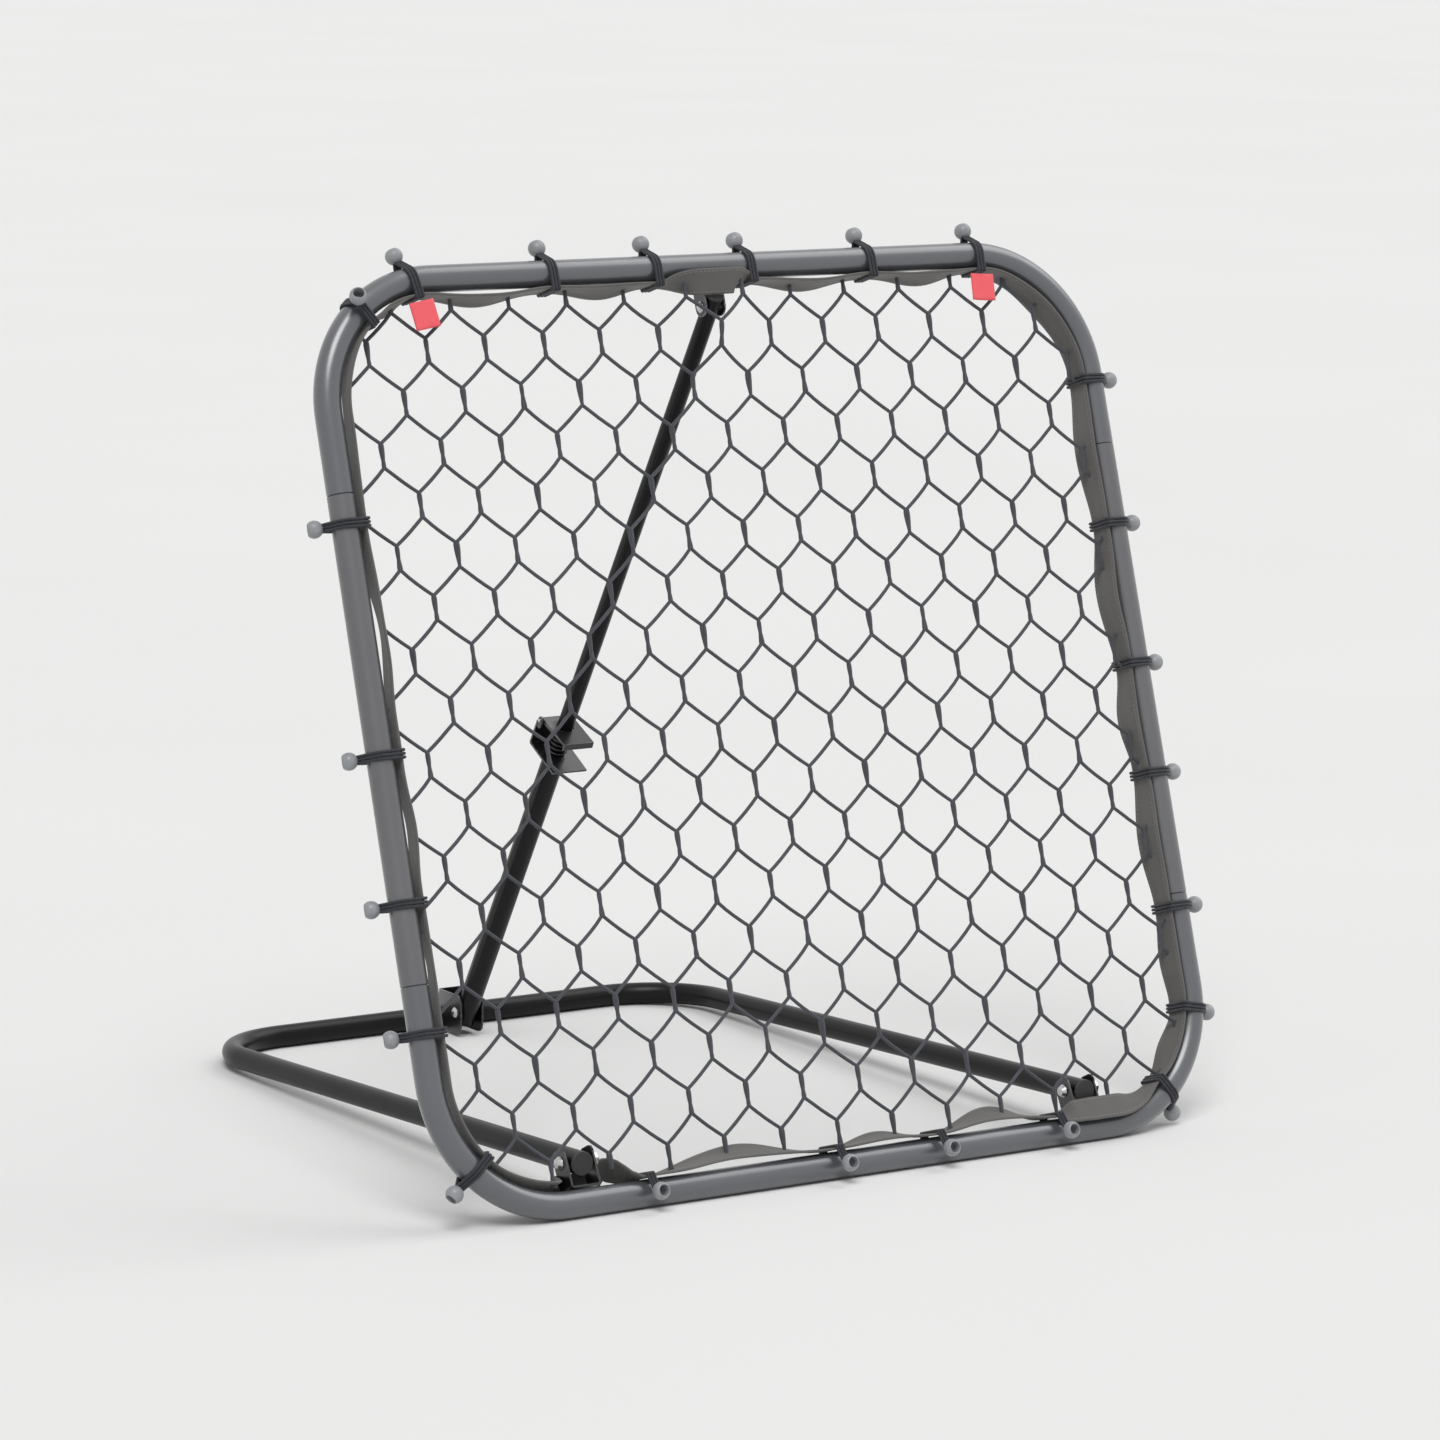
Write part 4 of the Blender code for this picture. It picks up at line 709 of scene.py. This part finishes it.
def station(distance):
    """(x, up, outward angle) on the frame tubes' centre line."""
    d = distance % PERIMETER
    for start, centre, angle in CORNERS:
        if start <= d <= start + CORNER_ARC:
            turn = angle + (d - start) / FRAME_CORNER
            out = polar(FRAME_CORNER, turn)
            return centre[0] + out[0], centre[1] + out[1], turn
    if d < STRAIGHT_X:
        return d, 0.0, -pi / 2
    if d < TOP_START - CORNER_ARC:
        return HALF_X, FRAME_CORNER + d - RIGHT_START, 0.0
    if d < LEFT_START - CORNER_ARC:
        return STRAIGHT_X - (d - TOP_START), FRAME_UP, pi / 2
    if d < BOTTOM_START - CORNER_ARC:
        return -HALF_X, FRAME_UP - FRAME_CORNER - (d - LEFT_START), pi
    return -STRAIGHT_X + (d - BOTTOM_START), 0.0, -pi / 2


def on_bottom(x):
    return x % PERIMETER


def on_top(x):
    return TOP_START + STRAIGHT_X - x


def on_right(up):
    return RIGHT_START + up - FRAME_CORNER


def on_left(up):
    return LEFT_START + FRAME_UP - FRAME_CORNER - up


def on_corner(angle):
    """The distance of a place on a corner, from its outward angle in degrees."""
    quarter = int(angle // 90)
    start = CORNERS[(quarter + 1) % 4][0]
    return start + radians(angle - 90 * quarter) * FRAME_CORNER


def bungee_places():
    """[(distance, turn of the ball)], in order along the perimeter."""
    places = []
    for rows, where in ((BOTTOM_BUNGEES, on_bottom), (RIGHT_BUNGEES, on_right), (TOP_BUNGEES, on_top),
                        (LEFT_BUNGEES, on_left)):
        places += [(where(value), rows[1]) for value in rows[0]]
    places += [(on_corner(angle), radians(turn)) for angle, turn in CORNER_BUNGEES]
    return sorted(places)


BUNGEES = bungee_places()


# Border band

def band_wave(index, middle, length):
    """The band's place half way between two bungees. No two waves are quite alike."""
    low = station(middle)[1] == 0
    uneven_lift = 1 - BAND_WAVE_UNEVEN + BAND_WAVE_UNEVEN * sin(2.4 * index)
    uneven_turn = 1 - BAND_TURN_UNEVEN + BAND_TURN_UNEVEN * sin(1.7 * index + 0.6)
    lift = (BAND_WAVE_LOW if low else BAND_WAVE) * length * uneven_lift
    twist = (BAND_TURN_LOW if low else BAND_TURN) * uneven_turn
    return middle, BAND_TIGHT + lift, 0.0, twist


def band_keys():
    """[(distance, inwards, forwards, twist)]: tight at each bungee, and off the tube between two of them."""
    keys = [((distance + side * BAND_HELD) % PERIMETER, BAND_TIGHT, 0.0, 0.0)
            for distance, _ in BUNGEES for side in (-1, 1)]
    for where, rows in ((on_bottom, BAND_PAST_LEFT_BRACKET), (on_bottom, BAND_PAST_RIGHT_BRACKET),
                        (on_top, BAND_PAST_TOP_BRACKET)):
        keys += [(where(x), inwards, forwards, radians(twist)) for x, inwards, forwards, twist in rows]
    keys.sort()
    found = []
    for index, key in enumerate(keys):
        following = keys[(index + 1) % len(keys)]
        length = (following[0] - key[0]) % PERIMETER
        if key[2] == 0 and following[2] == 0 and length > 3 * BAND_HELD:
            found.append(band_wave(index, (key[0] + length / 2) % PERIMETER, length))
    return sorted(keys + found)


BAND_KEYS = band_keys()


def band_at(distance):
    """(inwards, forwards, twist) of the band's middle line, eased between its keys."""
    d = distance % PERIMETER
    before, after = BAND_KEYS[-1], BAND_KEYS[0]
    for index, key in enumerate(BAND_KEYS):
        if key[0] > d:
            after, before = key, BAND_KEYS[index - 1]
            break
    length = (after[0] - before[0]) % PERIMETER
    share = ((d - before[0]) % PERIMETER) / length
    ease = (1 - cos(pi * share)) / 2
    return tuple(before[i] + (after[i] - before[i]) * ease for i in (1, 2, 3))


def frame_point(distance, inwards, forwards):
    x, up, turn = station(distance)
    return Vector((x - inwards * cos(turn), -forwards, up - inwards * sin(turn)))


def band_profile():
    """(across, thickness) round the tape, with a slightly thicker hem along each edge."""
    half, hem, thin = BAND_WIDTH / 2, BAND_HEM / 2, BAND_MIDDLE / 2
    right = [(half - 3.6 * hem, thin), (half - 2.2 * hem, hem), (half - hem, hem)]
    side = [(-w, t) for w, t in reversed(right)] + [(0, thin)] + right
    end = [(half - hem + hem * sin(a), hem * cos(a)) for a in (pi / 4, pi / 2, 3 * pi / 4)]
    return side + end + [(-w, -t) for w, t in side + end]


def border_band():
    count = round(PERIMETER / BAND_STEP)
    profile = band_profile()
    across = [w for w, _ in profile] + [profile[0][0]]
    points, rows = [], []
    for i in range(count):
        d = PERIMETER * i / count
        inwards, forwards, twist = band_at(d)
        twist += BAND_RIPPLE * sin(2 * pi * RIPPLES * i / count) * sin(2 * pi * RIPPLE_PATCHES * i / count)
        points.append(frame_point(d, inwards, forwards))
        rows.append([(t * cos(twist) - w * sin(twist), -w * cos(twist) - t * sin(twist)) for w, t in profile])
    mesh = sweep("net_band", points, rows, (0, 1, 0), PLANE, closed=True, across=across)
    band = piece("net_band", mesh, WEBBING, "frame", "border_band", angle=60)


# Net

def net_bulge(x, up):
    """How far the net stands forward of the frame's plane, where it passes the strut's bracket."""
    across = max(0.0, 1 - abs(x) / NET_BULGE_HALF_WIDTH)
    rise = (up - (FRAME_UP - NET_BULGE_START)) / (NET_BULGE_START - NET_BULGE_FULL)
    rise = min(1.0, max(0.0, rise))
    return NET_BULGE * (1 - cos(pi * across)) / 2 * (1 - cos(pi * rise)) / 2


def net_outline():
    """[(x, up)] of the band's middle line."""
    count = round(PERIMETER / OUTLINE_STEP)
    outline = []
    for i in range(count):
        d = PERIMETER * i / count
        point = frame_point(d, band_at(d)[0], 0)
        outline.append((point.x, point.z))
    return outline


def is_inside(x, up, outline):
    inside = False
    last_x, last_up = outline[-1]
    for next_x, next_up in outline:
        if (next_up > up) != (last_up > up):
            if x < (last_x - next_x) * (up - next_up) / (last_up - next_up) + next_x:
                inside = not inside
        last_x, last_up = next_x, next_up
    return inside


def strand_starts(direction):
    """Where the strands that climb to the right (1) or to the left (-1) start, on the net's first row."""
    columns = ceil(HALF_X / NET_PITCH) + 1
    more = ceil(NET_ROWS / 2)
    first, last = (-columns - more, columns) if direction > 0 else (-columns, columns + more)
    shift = NET_PITCH if NET_FIRST_ROW % 2 == 0 else NET_PITCH / 2
    return [NET_BAR_X + shift + column * NET_PITCH for column in range(first, last + 1)]


def strand_points(start, direction):
    """A strand that climbs through the net: half a turn round its neighbour in each bar, and slanted between
    two bars."""
    points = []
    for i in range(NET_ROWS):
        bar_x = start + direction * NET_PITCH / 2 * i
        low = NET_BAR_UP + (NET_FIRST_ROW + i) * NET_ROW - NET_BAR / 2
        slack = STRAND_SLACK * sin(3.1 * i + 40 * start)
        for step in range(BAR_STEPS + 1):
            share = step / BAR_STEPS
            x = bar_x - direction * STRAND_APART * cos(pi * share) + slack
            points.append(Vector((x, -direction * STRAND_APART * sin(pi * share), low + NET_BAR * share)))
        next_x = bar_x + direction * NET_PITCH / 2 - direction * STRAND_APART
        last, following = points[-1], Vector((next_x, 0, low + NET_ROW))
        for share in (0.25, 0.5, 0.75):
            points.append(last.lerp(following, share) + Vector((0, 0, -STRAND_SAG * sin(pi * share))))
    return points


def point_on(near, far, outline):
    """Where a line from inside the outline to outside it crosses it, by halving."""
    for _ in range(12):
        middle = near.lerp(far, 0.5)
        if is_inside(middle.x, middle.z, outline):
            near = middle
        else:
            far = middle
    return near


def runs_inside(points, outline):
    """The stretches of a strand inside the outline, each brought up to the outline itself."""
    runs, run = [], []
    inside = [is_inside(point.x, point.z, outline) for point in points]
    for i, point in enumerate(points):
        if i and inside[i] != inside[i - 1]:
            near, far = (point, points[i - 1]) if inside[i] else (points[i - 1], point)
            run.append(point_on(near, far, outline))
            if not inside[i]:
                runs.append(run)
                run = []
        if inside[i]:
            run.append(point)
    return [run for run in runs if len(run) > 1]


def net():
    outline = net_outline()
    section = circle(STRAND / 2, 8)
    work = bmesh.new()
    for direction in (1, -1):
        for start in strand_starts(direction):
            for run in runs_inside(strand_points(start, direction), outline):
                bulged = [point - Vector((0, net_bulge(point.x, point.z), 0)) for point in run]
                add_sweep(work, bulged, [section] * len(bulged), (0, 1, 0))
    mesh = finished("lacing_net", work, PLANE)
    piece("lacing_net", mesh, NET_CORD, "frame", "net", angle=60)


# Bungees

def loop_path(turn, on_ground):
    """The cord round tube and band, in (outwards, forwards) from the tube's axis, from the ball and back to
    it. On the ground the cord ends at the tube."""
    half = BUNGEE_STRAND / 2
    around = SEEN_RADIUS + half + CLEAR
    tip = polar(BALL_REACH - BALL / 3, turn)
    reach = acos(around / BALL_REACH)
    edge_out = -(BAND_TIGHT + BAND_HEM / 2)
    half_band = BAND_WIDTH / 2
    over_band = (arc((edge_out, half_band), half + CLEAR, pi / 2, pi, 6)
                 + arc((edge_out, -half_band), half + CLEAR, -pi, -pi / 2, 6))
    if on_ground:
        return [tip] + over_band + arc((0, 0), around, -pi / 2, -pi / 2 + GROUND_WRAP, 4)
    front = arc((0, 0), around, turn + reach, pi / 2, 8) if turn + reach < pi / 2 else []
    back = arc((0, 0), around, -pi / 2, turn - reach, 10) if turn - reach > -pi / 2 else []
    return [tip] + front + over_band + back + [tip]


def bungee_cord_mesh(name, turn, on_ground):
    """Three strands side by side, close together at the ball and apart over the tube. X is outwards, Y along
    the tube and Z towards the front."""
    path = loop_path(turn, on_ground)
    lengths = [hypot(b[0] - a[0], b[1] - a[1]) for a, b in zip(path, path[1:])]
    total = sum(lengths)
    section = circle(BUNGEE_STRAND / 2, 10)
    work = bmesh.new()
    for side in (-1, 0, 1):
        done, points = 0.0, []
        for place, length in zip(path, lengths + [0.0]):
            apart = BUNGEE_STRAND + CLEAR / 2 + BUNGEE_SPREAD * sin(pi * min(1.0, done / total))
            points.append(Vector((place[0], side * apart, place[1])))
            done += length
        add_sweep(work, points, [section] * len(points), (0, 1, 0))
    return finished(name, work)


def ball_mesh(name):
    """A ball with a round mouth at its top and the cord's knot at the bottom of the mouth."""
    radius, mouth, lip = BALL / 2, BALL_MOUTH, BALL_LIP
    lip_angle = acos((mouth + 1.6 * lip) / radius)
    steps = 18
    outer = [polar(radius, lip_angle - (lip_angle + pi / 2) * i / steps) for i in range(steps)]
    top = outer[0][1]
    rim = [(mouth, top - 0.0006), (mouth + 0.3 * lip, top - 0.0001), (mouth + 0.9 * lip, top + 0.0001)]
    knot = [(0, -0.0022), (0.0014, -0.0024), (0.0022, -0.0030), (0.0024, -0.0038), (0.0022, -0.0046)]
    bore = [(mouth * 0.85, -0.0046), (mouth, -0.0038)]
    # The knot and the bore take the second material, which is painted shade in the mouth.
    return turned(name, knot + bore + rim + outer + [(0, -radius)], 28, second_until=len(knot + bore))


def bungees():
    cords = {}
    ball = ball_mesh("ball")
    for index, (d, turn) in enumerate(BUNGEES):
        if turn not in cords:
            on_ground = turn == BOTTOM_BUNGEES[1]
            cords[turn] = bungee_cord_mesh(f"cord_{len(cords)}", turn, on_ground)
        x, up, outward = station(d)
        out, ahead = Vector((cos(outward), 0, sin(outward))), Vector((0, -1, 0))
        axes = Matrix((out, ahead.cross(out), ahead)).transposed().to_4x4()
        place = PLANE @ Matrix.Translation((x, 0, up)) @ axes
        reach = polar(BALL_REACH, turn)
        seat = Matrix.Translation((reach[0], 0, reach[1])) @ Matrix.Rotation(pi / 2 - turn, 4, "Y")
        number = f"{index + 1:02d}"
        cord, shaped = cords[turn].copy(), ball.copy()
        cord.transform(place)
        shaped.transform(place @ seat)
        node_name = "ball_bungee_" + number
        piece("bungee_cord_" + number, cord, ELASTIC, "frame", node_name, angle=60)
        piece("bungee_ball_" + number, shaped, BALL_PLASTIC, "frame", node_name)
        # The ball's second material is the painted shade inside its mouth.
        shaped.materials.append(MOUTH_PAINTED_SHADE)


# Tags

def tag_mesh(name, place):
    """A cloth square that hangs from its top edge, slightly bowed, with UVs in metres."""
    steps = 10
    work = bmesh.new()
    uv = work.loops.layers.uv.verify()
    grid = []
    for j in range(steps + 1):
        down = j / steps
        bows = [TAG_BOW * sin(pi * i / steps) * down for i in range(steps + 1)]
        grid.append([work.verts.new(((i / steps - 0.5) * TAG_SIZE, bow, -down * TAG_SIZE))
                     for i, bow in enumerate(bows)])
    for j in range(steps):
        for i in range(steps):
            face = work.faces.new((grid[j][i], grid[j + 1][i], grid[j + 1][i + 1], grid[j][i + 1]))
            for loop in face.loops:
                loop[uv].uv = (loop.vert.co.x, loop.vert.co.z)
    return finished(name, work, place)


def tags():
    """Two plain cloth squares, which hang from the band under a bungee's loop, each swung by some degrees."""
    under_loop = BAND_TIGHT + BAND_THICKNESS / 2 + BUNGEE_CORD + 2 * GAP
    for side, place, swing in (("left", TOP_BUNGEES[0][0], 9), ("right", TOP_BUNGEES[0][-1], -4)):
        x, up, outward = station(on_top(place))
        drop = under_loop * sin(outward) + BUNGEE_CORD * sin(radians(abs(swing)))
        hung = Matrix.Translation((x - under_loop * cos(outward), -BAND_WIDTH / 2, up - drop))
        mesh = tag_mesh("cloth_tag_" + side, PLANE @ hung @ Matrix.Rotation(radians(-swing), 4, "Y"))
        tag = piece("cloth_tag_" + side, mesh, TAG_RED, "frame", "tag_" + side)
        thick = tag.modifiers.new("thickness", "SOLIDIFY")
        thick.thickness = TAG_THICKNESS
        thick.offset = 0


# Spring and rigid CAD nodes

def lock_spring():
    steps = 24
    count = SPRING_TURNS * steps
    rise = (SPRING_HIGH - SPRING_LOW) / count
    points = [Vector((*polar(SPRING_RADIUS, 2 * pi * i / steps), SPRING_LOW + rise * i))
              for i in range(count + 1)]
    rows = [circle(SPRING_WIRE / 2, 10)] * len(points)
    place = Matrix.Translation(LOWER_TUBE_MOUTH) @ Matrix.Rotation(STRUT_LEAN, 4, "X")
    mesh = sweep("coil_spring", points, rows, (0, 0, 1), place)
    piece("coil_spring", mesh, SPRING_STEEL, "strut_lower", "lock_spring")


def joined_copy(name, paint):
    """A copy of a CAD node with joined faces, which stands for it."""
    source = frame["nodes"][name]
    work = bmesh.new()
    work.from_mesh(source.data)
    bmesh.ops.remove_doubles(work, verts=work.verts, dist=1e-6)
    bmesh.ops.dissolve_limit(work, angle_limit=radians(0.5), verts=work.verts, edges=work.edges)
    return piece(name + "_finished", finished(name, work), paint, source["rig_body"], name)


def round_edges(obj, paint, width):
    """Rounds an object's sharp edges. The rounding has its own paint."""
    obj.data.materials.append(paint)
    rounding = obj.modifiers.new("edges", "BEVEL")
    rounding.material = 1
    rounding.width = width
    rounding.segments = 2
    rounding.limit_method = "ANGLE"
    rounding.angle_limit = radians(50)


def paint_node(name, paint):
    """Gives a CAD node that stays its material."""
    materials = frame["nodes"][name].data.materials
    materials.clear()
    materials.append(paint)


def rigid_nodes():
    for name in PLATES:
        # The rounded edges of the plates take the painted highlight.
        round_edges(joined_copy(name, BLACK_PLATE), PLATE_EDGE_HIGHLIGHT, PLATE_ROUNDING)
    for name in STRUT_TUBES:
        joined_copy(name, BLACK_ENAMEL)
    for name in FASTENERS:
        round_edges(joined_copy(name, ZINC), ZINC, FASTENER_ROUNDING)
    paint_node("lock_pin", ZINC)
    for name in PLASTIC_NODES:
        paint_node(name, DARK_PLASTIC)


make_camera()
make_world()
make_sun("key", (-0.35, -0.55, 1.0), strength=1.65, angle=32)
make_sun("fill", (0.8, -0.1, 0.9), strength=0.85, angle=45)
make_floor()
frame_tubes()
base_tube()
border_band()
net()
bungees()
tags()
lock_spring()
rigid_nodes()
bpy.context.scene.view_settings.view_transform = "Standard"
